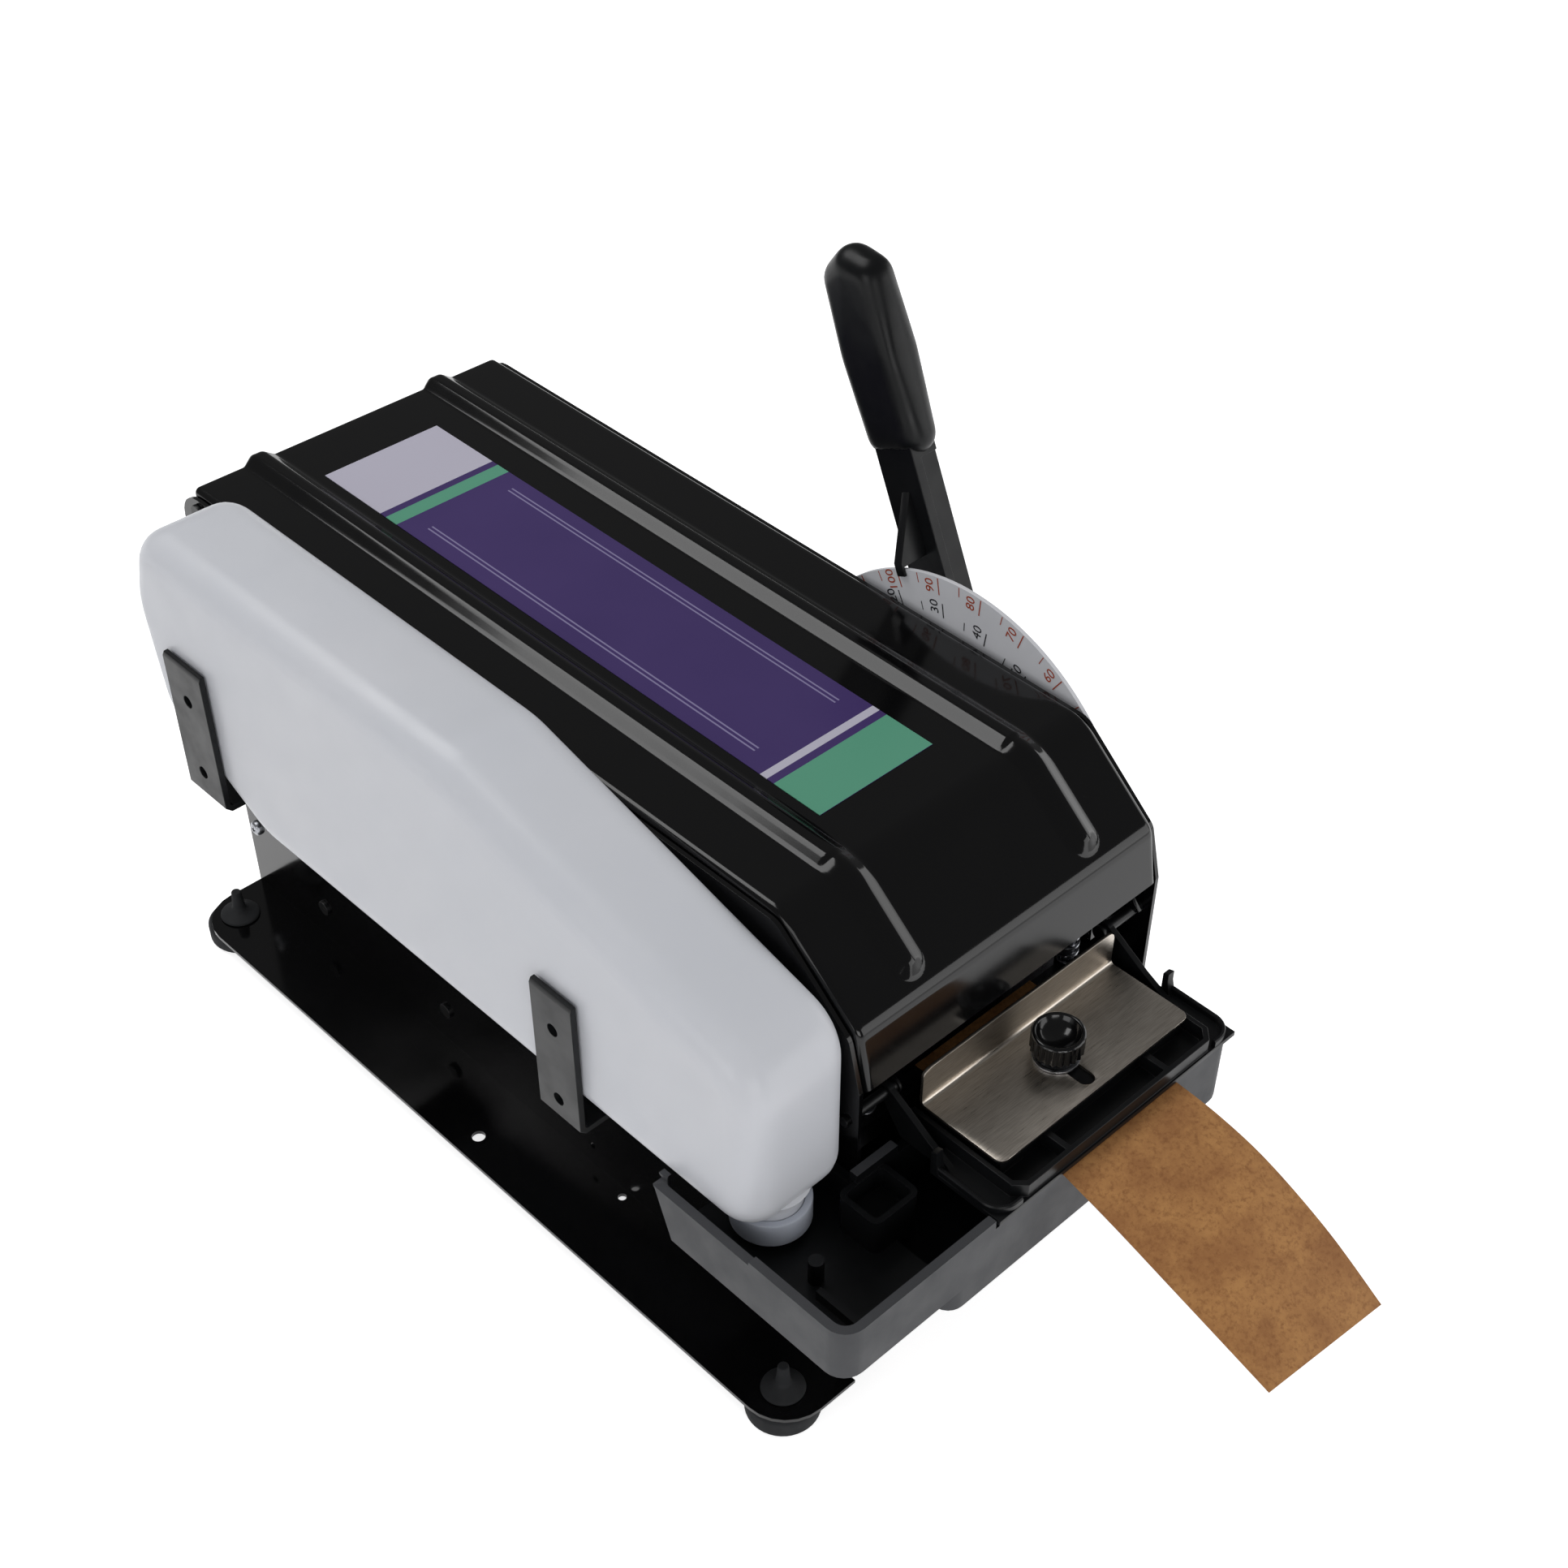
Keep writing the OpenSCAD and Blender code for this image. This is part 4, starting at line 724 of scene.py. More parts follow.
class DISPENSER_OT_materials(bpy.types.Operator):
    """Makes every finish and gives the plain CAD nodes theirs."""

    bl_idname = "dispenser.materials"
    bl_label = "Finishes"

    def execute(self, context):
        settings = finish_of(context)
        MATERIALS.update(
            enamel=gloss_enamel(settings),
            coat=satin_enamel(),
            stainless=brushed_stainless(),
            zinc=zinc_steel(),
            black=moulded_black(),
            polished=polished_black(),
            grey=moulded_grey(settings),
            milky=milky_plastic("natural polyethylene", "#dddee3", "#d4d7de"),
            cap=milky_plastic("tinted polyethylene", "#c3c8d3", "#b4bac8"),
            kraft=kraft_paper(),
            wound=wound_paper(),
            board=core_board(),
            tyre=rubber("roller rubber", "#1b1b1c"),
            foot=rubber("foot rubber", "#232426"),
            bronze=sintered_bronze(),
            beech=beech(),
            hair=brush_hair(),
            dial=dial_paint(),
            black_ink=print_ink("black dial ink", "#222228"),
            red_ink=print_ink("red dial ink", "#a5482e"),
            label=label_film(),
        )
        by_slot = {
            "black_enamel": "enamel", "black_steel": "coat", "label_film": "label",
            "stainless": "stainless", "bright_steel": "zinc", "black_plastic": "black",
            "grey_plastic": "grey", "dial_paint": "dial", "milky_plastic": "milky",
            "cap_plastic": "cap", "bronze": "bronze", "roller_rubber": "tyre",
            "foot_rubber": "foot", "kraft_tape": "kraft", "core_board": "board",
            "bristle": "hair", "brush_wood": "beech",
        }
        for name, node in frame["nodes"].items():
            material = MATERIALS[by_slot[slot_name(name)]]
            if name == "tape_roll":
                material = MATERIALS["wound"]
            node.data.materials.clear()
            node.data.materials.append(material)
        return {"FINISHED"}


class DISPENSER_OT_body(bpy.types.Operator):
    """Breaks the edges of the sheet-metal and moulded pieces."""

    bl_idname = "dispenser.body"
    bl_label = "Body pieces"

    def execute(self, context):
        widths = [
            ("left_frame", "enamel", 0.5), ("right_frame", "enamel", 0.5), ("rear_panel", "enamel", 0.4),
            ("front_panel", "enamel", 0.35), ("base_pan", "coat", 0.4), ("tank_shelf", "coat", 0.4),
            ("roll_guides", "coat", 0.3), ("cutter_bars", "coat", 0.5), ("blade_carrier", "coat", 0.5),
            ("front_strap", "black", 0.6), ("rear_strap", "black", 0.6), ("water_tank", "grey", 0.6),
            ("press_frame", "black", 0.45), ("pointer", "black", 0.3), ("dial_plate", "dial", 0.3),
            ("brush_blocks", "beech", 0.8), ("lever_nut", "zinc", 0.5), ("shaft_bushes", "bronze", 0.25),
            ("tape_bed", "zinc", 0.3), ("cut_rocker", "zinc", 0.4), ("basket_roller_front", "zinc", 0.5),
            ("basket_roller_rear", "zinc", 0.5), ("basket_axles", "coat", 0.4), ("hinge_rod", "coat", 0.5),
            ("press_pins", "coat", 0.4), ("feed_roller", "tyre", 0.8), ("pressure_roller", "tyre", 0.8),
            ("knob_washer", "zinc", 0.3), ("rubber_feet", "foot", 0.7), ("bottle_cap", "cap", 0.8),
            ("lower_blade", "zinc", 0.2), ("upper_blade", "zinc", 0.2),
        ]
        for node, finish, width in widths:
            piece = softened(node, MATERIALS[finish], width)
            if node == "water_tank":
                # The tank's inside is painted black as shade
                self.polish_inside(piece)
        return {"FINISHED"}

    def polish_inside(self, tank):
        """Gives the tank's floor and inner walls the black plastic, as painted shade inside the tank."""
        below_brim, off_face, across_tank, steep = 0.004, 0.0005, 0.25, 0.5
        mesh = tank.data
        # The second material, black plastic, is painted shade on the tank's inner faces
        mesh.materials.append(MATERIALS["black"])
        points = [vertex.co.copy() for vertex in mesh.vertices]
        tree = BVHTree.FromPolygons(points, [tuple(face.vertices) for face in mesh.polygons])
        brim = max(point.z for point in points) - below_brim
        for face in mesh.polygons:
            ray = tree.ray_cast(face.center + face.normal * off_face, face.normal, across_tank)
            floor = face.normal.z > steep and face.center.z < brim
            inner_wall = abs(face.normal.z) < steep and ray[0] is not None
            if floor or inner_wall:
                face.material_index = 1


class DISPENSER_OT_cover(bpy.types.Operator):
    """Presses the cover from one sheet, with soft creases and two long ribs that run on down its slope."""

    bl_idname = "dispenser.cover"
    bl_label = "Cover"

    def execute(self, context):
        sizes = sizes_of(context)
        past_hinge, side_radius, skirt = 0.0035, 0.0032, 0.016
        rear_radius, crease_radius, bend_radius = 0.003, 0.024, 0.011
        long_step, short_step, corner_steps, columns_on_top = 0.006, 0.0013, 14, 150
        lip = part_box("hinge_rod")[0].z - past_hinge
        stops = [(COVER_REAR, lip), (COVER_REAR, COVER_TOP), (CREASE, COVER_TOP), BEND, DROP]
        radii = [0, rear_radius, crease_radius, bend_radius, 0]
        coarse = resample(rounded_path(stops, radii, corner_steps), long_step)
        path = [coarse[0]]
        for a, b in zip(coarse, coarse[1:]):
            # Short steps on the rear, over the crease and down the slope, where the ribs bend and end
            ribs_change = b.x < CREASE + 0.012 or b.y < COVER_TOP
            path += resample([a, b], short_step if ribs_change else long_step)[1:]
        ways = run_lengths(path)
        crease_way = (COVER_TOP - lip) + (COVER_REAR - CREASE)
        rib_middle, rib_foot = 0.051, sizes.rib_width / 2
        rib_start, rib_end = (COVER_TOP - lip) * 0.45, crease_way + 0.038

        def rib(across, way):
            """Height of the ribs above the sheet."""
            away = math.hypot(abs(across) - rib_middle, max(rib_start - way, 0.0, way - rib_end))
            # Share of the foot that is level, and of the height. The flanks are flatter on the slope.
            level, height = (0.24, 1.0) if way < crease_way - 0.01 else (0.12, 0.86)
            down = min(max((away - rib_foot * level) / (rib_foot * (1 - level)), 0.0), 1.0)
            return sizes.rib_height * height * (1 - eased(down, 0.16))

        # Lower edge of the side skirts, with a point for each stop
        low_line = [
            Vector((COVER_REAR, lip)), Vector((COVER_REAR, COVER_TOP - skirt)),
            Vector((CREASE + skirt / 4, COVER_TOP - skirt)),
            Vector((BEND[0] + 0.009, BEND[1] - skirt / 2)), Vector((DROP[0] + skirt / 2, DROP[1])),
        ]
        knots = run_lengths(stops)
        knots[-1] = ways[-1]

        def low_point(way):
            """Place on the skirts' lower edge for a way along the top."""
            for i in range(len(knots) - 1):
                if way <= knots[i + 1] + 1e-9:
                    share = (way - knots[i]) / (knots[i + 1] - knots[i])
                    return low_line[i].lerp(low_line[i + 1], share)
            return low_line[-1]

        half = COVER_HALF
        flat = half - side_radius
        across = [flat * (2 * j / columns_on_top - 1) for j in range(columns_on_top + 1)]
        angles = [math.radians(15 * k) for k in range(6)]
        # The long edges' bend, as (in from the side, below the top)
        bend = [(side_radius * (1 - math.cos(a)), side_radius * (1 - math.sin(a))) for a in angles]
        points = []
        for i, spot in enumerate(path):
            before, after = path[max(i - 1, 0)], path[min(i + 1, len(path) - 1)]
            way = (after - before).normalized()
            out = Vector((way.y, -way.x))
            low = low_point(ways[i])
            row = [(-half, low)]
            row += [(aside - half, spot - out * under) for aside, under in bend]
            row += [(x, spot + out * rib(x, ways[i])) for x in across]
            row += [(half - aside, spot - out * under) for aside, under in reversed(bend)]
            row += [(half, low)]
            points += [(x, at.x, at.y) for x, at in row]
        columns = len(points) // len(path)
        mesh = build_mesh("pressed_cover", points, grid_faces(len(path), columns), outward=False)
        piece = show("pressed_cover", mesh, MATERIALS["enamel"])
        wall = piece.modifiers.new("sheet", "SOLIDIFY")
        wall.thickness = SHEET
        wall.offset = -1.0
        settle(piece)
        top = max(piece.data.polygons, key=lambda face: face.center.z)
        if top.normal.z < 0:
            piece.data.flip_normals()
        deliver(piece, "cover", "black_enamel", "top_cover")
        return {"FINISHED"}


class DISPENSER_OT_bottle(bpy.types.Operator):
    """Blow-moulded bottle with soft edges, slightly hollow sides and a neck."""

    bl_idname = "dispenser.bottle"
    bl_label = "Bottle"

    def execute(self, context):
        edge = sizes_of(context).bottle_edge
        low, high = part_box("bottle")
        front, rear, foot, top = low.y, high.y, 0.142, high.z
        # Side view as (y, z), anticlockwise, with the radius of each corner
        corners = [
            ((front, foot), 0.017), ((rear - 0.078, foot), 0.034), ((rear - 0.008, foot + 0.0365), 0.026),
            ((rear, foot + 0.097), 0.05), ((rear - 0.012, top), 0.02), ((-0.045, top), 0.05),
            ((front, foot + 0.088), 0.026),
        ]
        least_radius, edge_steps, corner_steps, hollow = 0.006, 9, 8, 0.0011
        middle, half = (high.x + low.x) / 2, (high.x - low.x) / 2
        # One half as (distance from the middle, loop), out to the flat side
        loops = []
        for k in range(edge_steps + 1):
            angle = math.pi / 2 * k / edge_steps
            inset = edge * (1 - math.cos(angle))
            radii = [max(radius - inset, least_radius) for _, radius in corners]
            loop = rounded_loop(inset_loop([spot for spot, _ in corners], inset), radii, corner_steps)
            loops.append((half - edge + edge * math.sin(angle), loop))
        rim = loops[-1][1]
        centre = sum(rim, Vector((0, 0))) / len(rim)
        # The flat side sinks a little towards its centre
        for share in (0.86, 0.68, 0.48, 0.27):
            shrunk = [centre + (p - centre) * share for p in rim]
            loops.append((half - hollow * (1 - share) ** 0.6, shrunk))
        rings = [(-reach, loop) for reach, loop in reversed(loops)] + [(0.0, loops[0][1])] + loops
        points = [(middle + reach, p.x, p.y) for reach, loop in rings for p in loop]
        mesh = build_mesh("blown_bottle", points, tube_faces(len(rings), len(rim)))
        piece = settle(show("blown_bottle", mesh, MATERIALS["milky"]), 80)
        deliver(piece, "water_bottle", "milky_plastic", "bottle")
        cap_low, cap_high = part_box("bottle_cap")
        centre = ((cap_low.x + cap_high.x) / 2, (cap_low.y + cap_high.y) / 2, cap_high.z)
        profile = [(11.6, -8), (12.9, -7.6), (13.1, -7), (13.1, 3), (16, 9), (11, 12)]
        neck = settle(turned("bottle_neck", profile, centre, MATERIALS["milky"]))
        deliver(neck, "water_bottle", "milky_plastic")
        return {"FINISHED"}


class DISPENSER_OT_lever(bpy.types.Operator):
    """Moulded lever: its bar and its rounded grip."""

    bl_idname = "dispenser.lever"
    bl_label = "Lever"

    def execute(self, context):
        softened("lever_arm", MATERIALS["black"], 0.9, 3)
        piece = show("rounded_grip", plain("rounded_grip", merged("lever_grip")), MATERIALS["black"])
        remesh = piece.modifiers.new("skin", "REMESH")
        remesh.mode = "VOXEL"
        remesh.voxel_size = 0.0011
        relax = piece.modifiers.new("relax", "SMOOTH")
        relax.factor = 0.6
        relax.iterations = 12
        settle(piece, 60)
        deliver(piece, "lever", "black_plastic", "lever_grip")
        return {"FINISHED"}


class DISPENSER_OT_press(bpy.types.Operator):
    """Folded steel plate with its slot, and the lips round the press frame's side gutters."""

    bl_idname = "dispenser.press"
    bl_label = "Press frame"

    def plate(self):
        """The flat blank in rows from front to rear, with its corners and slot cut, then folded up."""
        low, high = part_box("steel_plate")
        thick, bend, corner_r, slot_r = 0.00138, 0.0026, 0.004, 0.00375
        slot_from, slot_to, steps = 0.00345, 0.03035, 14
        level = low.z + 0.0015 - thick / 2
        flat = high.y - thick / 2 - bend - low.y
        arc = math.pi / 2 * bend
        total = flat + arc + high.z - level - bend
        half = high.x
        rows = {0.0, total, flat, flat + arc, slot_from, slot_to}
        quarter = [1 - math.cos(math.radians(15 * k)) for k in range(7)]
        for start, reach in ((0.0, corner_r), (total, -corner_r), (slot_from, slot_r), (slot_to, -slot_r)):
            rows |= {start + reach * share for share in quarter}
        rows |= {flat + arc * k / 8 for k in range(9)}
        ordered = sorted(rows)
        ordered = [v for i, v in enumerate(ordered) if i == 0 or v - ordered[i - 1] > 1e-5]

        def folded(way):
            """Place of a row of the blank on the folded plate."""
            if way <= flat:
                return low.y + way, level
            turn = min((way - flat) / bend, math.pi / 2)
            rise = max(way - flat - arc, 0.0)
            return low.y + flat + bend * math.sin(turn), level + bend * (1 - math.cos(turn)) + rise

        points, faces = [], []
        for sign in (-1, 1):
            start = len(points)
            for way in ordered:
                cut = max(corner_r - min(way, total - way), 0.0)
                edge = half - corner_r + math.sqrt(max(corner_r**2 - cut**2, 0.0))
                off = max(slot_from + slot_r - way, way - slot_to + slot_r, 0.0)
                inner = math.sqrt(max(slot_r**2 - off**2, 0.0)) if slot_from <= way <= slot_to else 0.0
                y, z = folded(way)
                points += [(sign * (inner + (edge - inner) * i / steps), y, z) for i in range(steps + 1)]
            for a, b, c, d in grid_faces(len(ordered), steps + 1):
                quad = (start + a, start + b, start + c, start + d)
                faces.append(quad if sign > 0 else quad[::-1])
        piece = show("folded_plate", build_mesh("folded_plate", points, faces), MATERIALS["stainless"])
        sheet = piece.modifiers.new("sheet", "SOLIDIFY")
        sheet.thickness = thick
        sheet.offset = 0.0
        edges = piece.modifiers.new("broken edges", "BEVEL")
        edges.width, edges.segments, edges.angle_limit = 0.00025, 2, math.radians(50)
        settle(piece)
        deliver(piece, body_name("steel_plate"), "stainless", "steel_plate")

    def gutters(self):
        """A lip along each flange and round its front corner, standing on the frame's floor."""
        low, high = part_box("press_frame")
        floor = low.z + 0.0024
        side, front = high.x - 0.0011, low.y + 0.0012
        rear, inner, corner_radius, corner_steps, step = low.y + 0.036, 0.0590, 0.009, 12, 0.004
        stops = [(side, rear), (side, front), (inner, front)]
        path = resample(rounded_path(stops, [0, corner_radius, 0], corner_steps), step)
        # Section of a lip, as (across, up)
        section = [
            (-0.001, 0.0), (-0.001, 0.0026), (-0.0005, 0.0032),
            (0.0005, 0.0032), (0.001, 0.0026), (0.001, 0.0),
        ]
        pieces = []
        for sign in (-1, 1):
            points = []
            for i, spot in enumerate(path):
                way = (path[min(i + 1, len(path) - 1)] - path[max(i - 1, 0)]).normalized()
                out = Vector((way.y, -way.x))
                points += [(sign * (spot + out * a).x, (spot + out * a).y, floor + b) for a, b in section]
            mesh = build_mesh("lip", points, tube_faces(len(path), len(section)))
            pieces.append(show("lip", mesh, MATERIALS["black"]))
        piece = settle(joined("gutter_lips", pieces, MATERIALS["black"]))
        deliver(piece, body_name("press_frame"), "black_plastic")

    def execute(self, context):
        self.plate()
        self.gutters()
        return {"FINISHED"}


class DISPENSER_OT_knob(bpy.types.Operator):
    """Moulded thumb knob, fluted round its rim and dished on top."""

    bl_idname = "dispenser.knob"
    bl_label = "Knob"

    def execute(self, context):
        low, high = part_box("knob")
        centre = ((low.x + high.x) / 2, (low.y + high.y) / 2, high.z)
        profile = [
            (0.4, -24.5), (3.0, -24.3), (3.0, -14.0), (8.2, -14.0), (8.6, -13.7), (8.8, -12.2),
            (9.4, -10.8), (10.7, -10.2), (11.2, -9.7), (11.25, -9.3), (11.25, -1.6), (11.2, -1.1),
            (10.9, -0.5), (10.4, -0.1), (9.9, 0.0), (9.4, -0.15), (9.0, -0.7), (8.2, -2.2),
            (6.5, -3.6), (4.2, -4.5), (2.0, -4.9), (0.4, -5.0),
        ]
        flutes = sizes_of(context).flutes
        deepest, rim_foot, rim_top, rim_inside = 0.9, -10.3, -1.2, 10

        def fluted(radius, height, angle):
            """Radius with the flutes cut in the rim."""
            depth = deepest if rim_foot < height < rim_top and radius > rim_inside else 0.0
            return radius - depth * (0.5 - 0.5 * math.cos(flutes * angle)) ** 0.8

        piece = settle(turned("fluted_knob", profile, centre, MATERIALS["polished"], flutes * 8, fluted))
        deliver(piece, "adjuster", "black_plastic", "knob")
        return {"FINISHED"}


class DISPENSER_OT_tape(bpy.types.Operator):
    """Free end of the tape: a paper strip that droops, twists a little and curls across its width."""

    bl_idname = "dispenser.tape"
    bl_label = "Tape"

    def execute(self, context):
        low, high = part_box("tape_strip")
        top = high.z - 0.0002
        half, belly_height = 0.035, 0.0035
        straight_steps, hanging_steps, steps_across = 12, 56, 24
        # The free part's edges as (y, height against the lip)
        lip_y = -0.2805
        right_edge = [
            (lip_y, 0.0), (-0.303, -0.0022), (-0.3285, -0.0085), (-0.3610, -0.0232), (-0.3905, -0.0420),
        ]
        left_edge = [
            (lip_y, 0.0), (-0.3075, -0.0080), (-0.3345, -0.0170), (-0.3610, -0.0258), (-0.3872, -0.0346),
        ]

        def along(edge, share):
            """Place on a smooth curve through an edge's points."""
            spot = share * (len(edge) - 1)
            i = min(int(spot), len(edge) - 2)
            t = spot - i
            a, b = edge[max(i - 1, 0)], edge[i]
            c, d = edge[i + 1], edge[min(i + 2, len(edge) - 1)]
            return [
                0.5 * (2 * b[n] + (c[n] - a[n]) * t + (2 * a[n] - 5 * b[n] + 4 * c[n] - d[n]) * t * t
                       + (3 * b[n] - a[n] - 3 * c[n] + d[n]) * t**3)
                for n in (0, 1)
            ]

        rows = []
        for i in range(straight_steps + 1):
            y = high.y + (lip_y - high.y) * i / straight_steps
            rows.append(((y, 0.0), (y, 0.0), 0.0))
        for i in range(1, hanging_steps + 1):
            share = i / hanging_steps
            rows.append((along(left_edge, share), along(right_edge, share), share))
        points = []
        for left, right, share in rows:
            belly = belly_height * math.sin(math.pi * min(share * 1.2, 1))
            for j in range(steps_across + 1):
                t = j / steps_across
                y = left[0] + (right[0] - left[0]) * t
                z = left[1] + (right[1] - left[1]) * t + 4 * t * (1 - t) * belly
                points.append((half * (2 * t - 1), y, top + z))
        mesh = build_mesh("paper_strip", points, grid_faces(len(rows), steps_across + 1), outward=False)
        piece = show("paper_strip", mesh, MATERIALS["kraft"])
        paper = piece.modifiers.new("paper", "SOLIDIFY")
        paper.thickness = 0.0003
        paper.offset = 0.0
        settle(piece, 70)
        deliver(piece, "frame", "kraft_tape", "tape_strip")
        return {"FINISHED"}


class DISPENSER_OT_dial(bpy.types.Operator):
    """Prints the two scales on the dial's inner face: ticks and numbers for the two strokes."""

    bl_idname = "dispenser.dial"
    bl_label = "Dial print"

    film = 0.00012

    def spot(self, radius, angle, lift=0.0):
        """Point on the dial's face, from a radius in mm and an angle from straight up towards the front."""
        a = math.radians(angle)
        y, z = LEVER_AXLE[0] - radius * math.sin(a) * MM, LEVER_AXLE[1] + radius * math.cos(a) * MM
        return Vector((DIAL_FACE - lift, y, z))

    def tick(self, inner, outer, angle, width):
        """A tick between two radii."""
        a = math.radians(angle)
        side = Vector((0, -math.cos(a), -math.sin(a))) * width / 2 * MM
        near, far = self.spot(inner, angle), self.spot(outer, angle)
        ends = [near - side, near + side, far + side, far - side]
        raised = [p - Vector((self.film, 0, 0)) for p in ends]
        faces = [(0, 1, 2, 3), (4, 5, 6, 7), (0, 1, 5, 4), (1, 2, 6, 5), (2, 3, 7, 6), (3, 0, 4, 7)]
        return show("tick", build_mesh("tick", ends + raised, faces), MATERIALS["black_ink"])

    def number(self, context, text, radius, angle, height):
        """A number that is read along the radius."""
        curve = bpy.data.curves.new("number", "FONT")
        curve.body = text
        curve.size = height * MM
        curve.align_x = "CENTER"
        curve.align_y = "CENTER"
        curve.extrude = self.film / 2
        curve.resolution_u = 3
        holder = bpy.data.objects.new("number", curve)
        context.scene.collection.objects.link(holder)
        graph = context.evaluated_depsgraph_get()
        mesh = bpy.data.meshes.new_from_object(holder.evaluated_get(graph))
        bpy.data.objects.remove(holder)
        a = math.radians(angle)
        along = Vector((0, -math.sin(a), math.cos(a)))
        out = Vector((-1, 0, 0))
        turn = Matrix((along, out.cross(along), out)).transposed().to_4x4()
        mesh.transform(Matrix.Translation(self.spot(radius, angle, self.film / 2)) @ turn)
        return show("number", mesh, MATERIALS["black_ink"])

    def execute(self, context):
        tens_width, fives_width, letter = 0.55, 0.4, 6.8
        # Each scale's angle at one of its values, its degrees for each unit, and where it ends
        angle_of_20, forward_unit, forward_end = -27.7, 1.765, 92
        angle_of_90, back_unit, back_end = -11.0, 1.483, 100
        first_angle, radius_of_20, winding, edge = -62, 84, 0.25, 97.4
        forward, back = [], []
        for value in range(10, 100, 5):
            # The forward scale winds inwards as it grows
            angle, radius = angle_of_20 + (value - 20) * forward_unit, radius_of_20 - (value - 20) * winding
            if not first_angle < angle < forward_end:
                continue
            tens = value % 10 == 0
            reach, width = (7.0, tens_width) if tens else (4.1, fives_width)
            forward.append(self.tick(radius - 3, radius - 3 + reach, angle, width))
            if tens:
                forward.append(self.number(context, str(value), radius + 1.6, angle - 3.4, letter))
        for value in range(10, 111, 5):
            angle = angle_of_90 + (90 - value) * back_unit
            if not first_angle < angle < back_end:
                continue
            tens = value % 10 == 0
            reach, width = (8.0, tens_width) if tens else (4.6, fives_width)
            back.append(self.tick(edge - reach, edge, angle, width))
            if tens:
                back.append(self.number(context, str(value), edge - 4.5, angle - 3.2, letter))
        scales = (("dial_forward_scale", forward, "black_ink"), ("dial_return_scale", back, "red_ink"))
        for name, marks, ink in scales:
            piece = joined(name, marks, MATERIALS[ink])
            deliver(piece, "frame", "dial_paint")
        return {"FINISHED"}


class DISPENSER_OT_fasteners(bpy.types.Operator):
    """Pan-head screws with a cross recess on the frame, the straps and the dial."""

    bl_idname = "dispenser.fasteners"
    bl_label = "Screws"

    def screw_head(self, radius, height):
        """A domed head on the +Z axis with a cross cut in it."""
        shape = bmesh.new()
        profile = [(1.0, 0.0), (1.0, 0.35), (0.9, 0.72), (0.66, 0.93), (0.36, 1.0)]
        steps = 28
        angles = [2 * math.pi * i / steps for i in range(steps)]
        rings = []
        for wide, high in profile:
            reach = radius * wide
            ring = [(reach * math.cos(a), reach * math.sin(a), height * high) for a in angles]
            rings.append([shape.verts.new(spot) for spot in ring])
        for a, b in zip(rings, rings[1:]):
            for i in range(steps):
                shape.faces.new((a[i], a[(i + 1) % steps], b[(i + 1) % steps], b[i]))
        arm, web, depth = radius * 0.52, radius * 0.12, height * 0.55
        cross = [
            (arm, -web), (arm, web), (web, web), (web, arm), (-web, arm), (-web, web),
            (-arm, web), (-arm, -web), (-web, -web), (-web, -arm), (web, -arm), (web, -web),
        ]
        top = [shape.verts.new((x, y, height)) for x, y in cross]
        floor = [shape.verts.new((x * 0.8, y * 0.8, height - depth)) for x, y in cross]
        for i in range(len(cross)):
            k = (i + 1) % len(cross)
            shape.faces.new((top[i], floor[i], floor[k], top[k]))
        shape.faces.new(floor)
        edges = []
        for loop in (rings[-1], top):
            for pair in zip(loop, loop[1:] + loop[:1]):
                edges.append(shape.edges.get(pair) or shape.edges.new(pair))
        bmesh.ops.triangle_fill(shape, edges=edges, use_beauty=True)
        shape.faces.new(list(reversed(rings[0])))
        bmesh.ops.recalc_face_normals(shape, faces=shape.faces)
        return show("screw_head", plain("screw_head", shape), MATERIALS["zinc"])

    def heads(self, node, height, facing):
        """Points and facings of a node's screw heads. Without a facing, they point away from x = 0."""
        shape = merged(node)
        left = set(shape.verts)
        spots = []
        while left:
            group, stack = set(), [left.pop()]
            while stack:
                vertex = stack.pop()
                group.add(vertex)
                for edge in vertex.link_edges:
                    other = edge.other_vert(vertex)
                    if other in left:
                        left.discard(other)
                        stack.append(other)
            xs = [v.co.x for v in group]
            ys = [v.co.y for v in group]
            zs = [v.co.z for v in group]
            centre_y, centre_z = (min(ys) + max(ys)) / 2, (min(zs) + max(zs)) / 2
            side = facing or (1 if sum(xs) > 0 else -1)
            outer = max(xs) if side > 0 else min(xs)
            spots.append((Vector((outer - side * height, centre_y, centre_z)), (side, 0, 0)))
        shape.free()
        # A set of vertices has no fixed order, so the places are sorted
        return sorted(spots, key=lambda spot: tuple(spot[0]))

    def execute(self, context):
        # Node, radius and height of its heads, and the side that they face
        rows = [
            ("frame_screws", 0.0040, 0.0026, 0), ("strap_screws", 0.0045, 0.0024, -1),
            ("dial_screws", 0.0040, 0.0022, 1),
        ]
        for node, radius, height, facing in rows:
            head = self.screw_head(radius, height)
            piece = repeated(f"{node}_heads", head, self.heads(node, height, facing), MATERIALS["zinc"])
            # The other screws' shanks stay in view
            hidden = [node] if node == "frame_screws" else []
            deliver(piece, "frame", "bright_steel", *hidden)
        return {"FINISHED"}


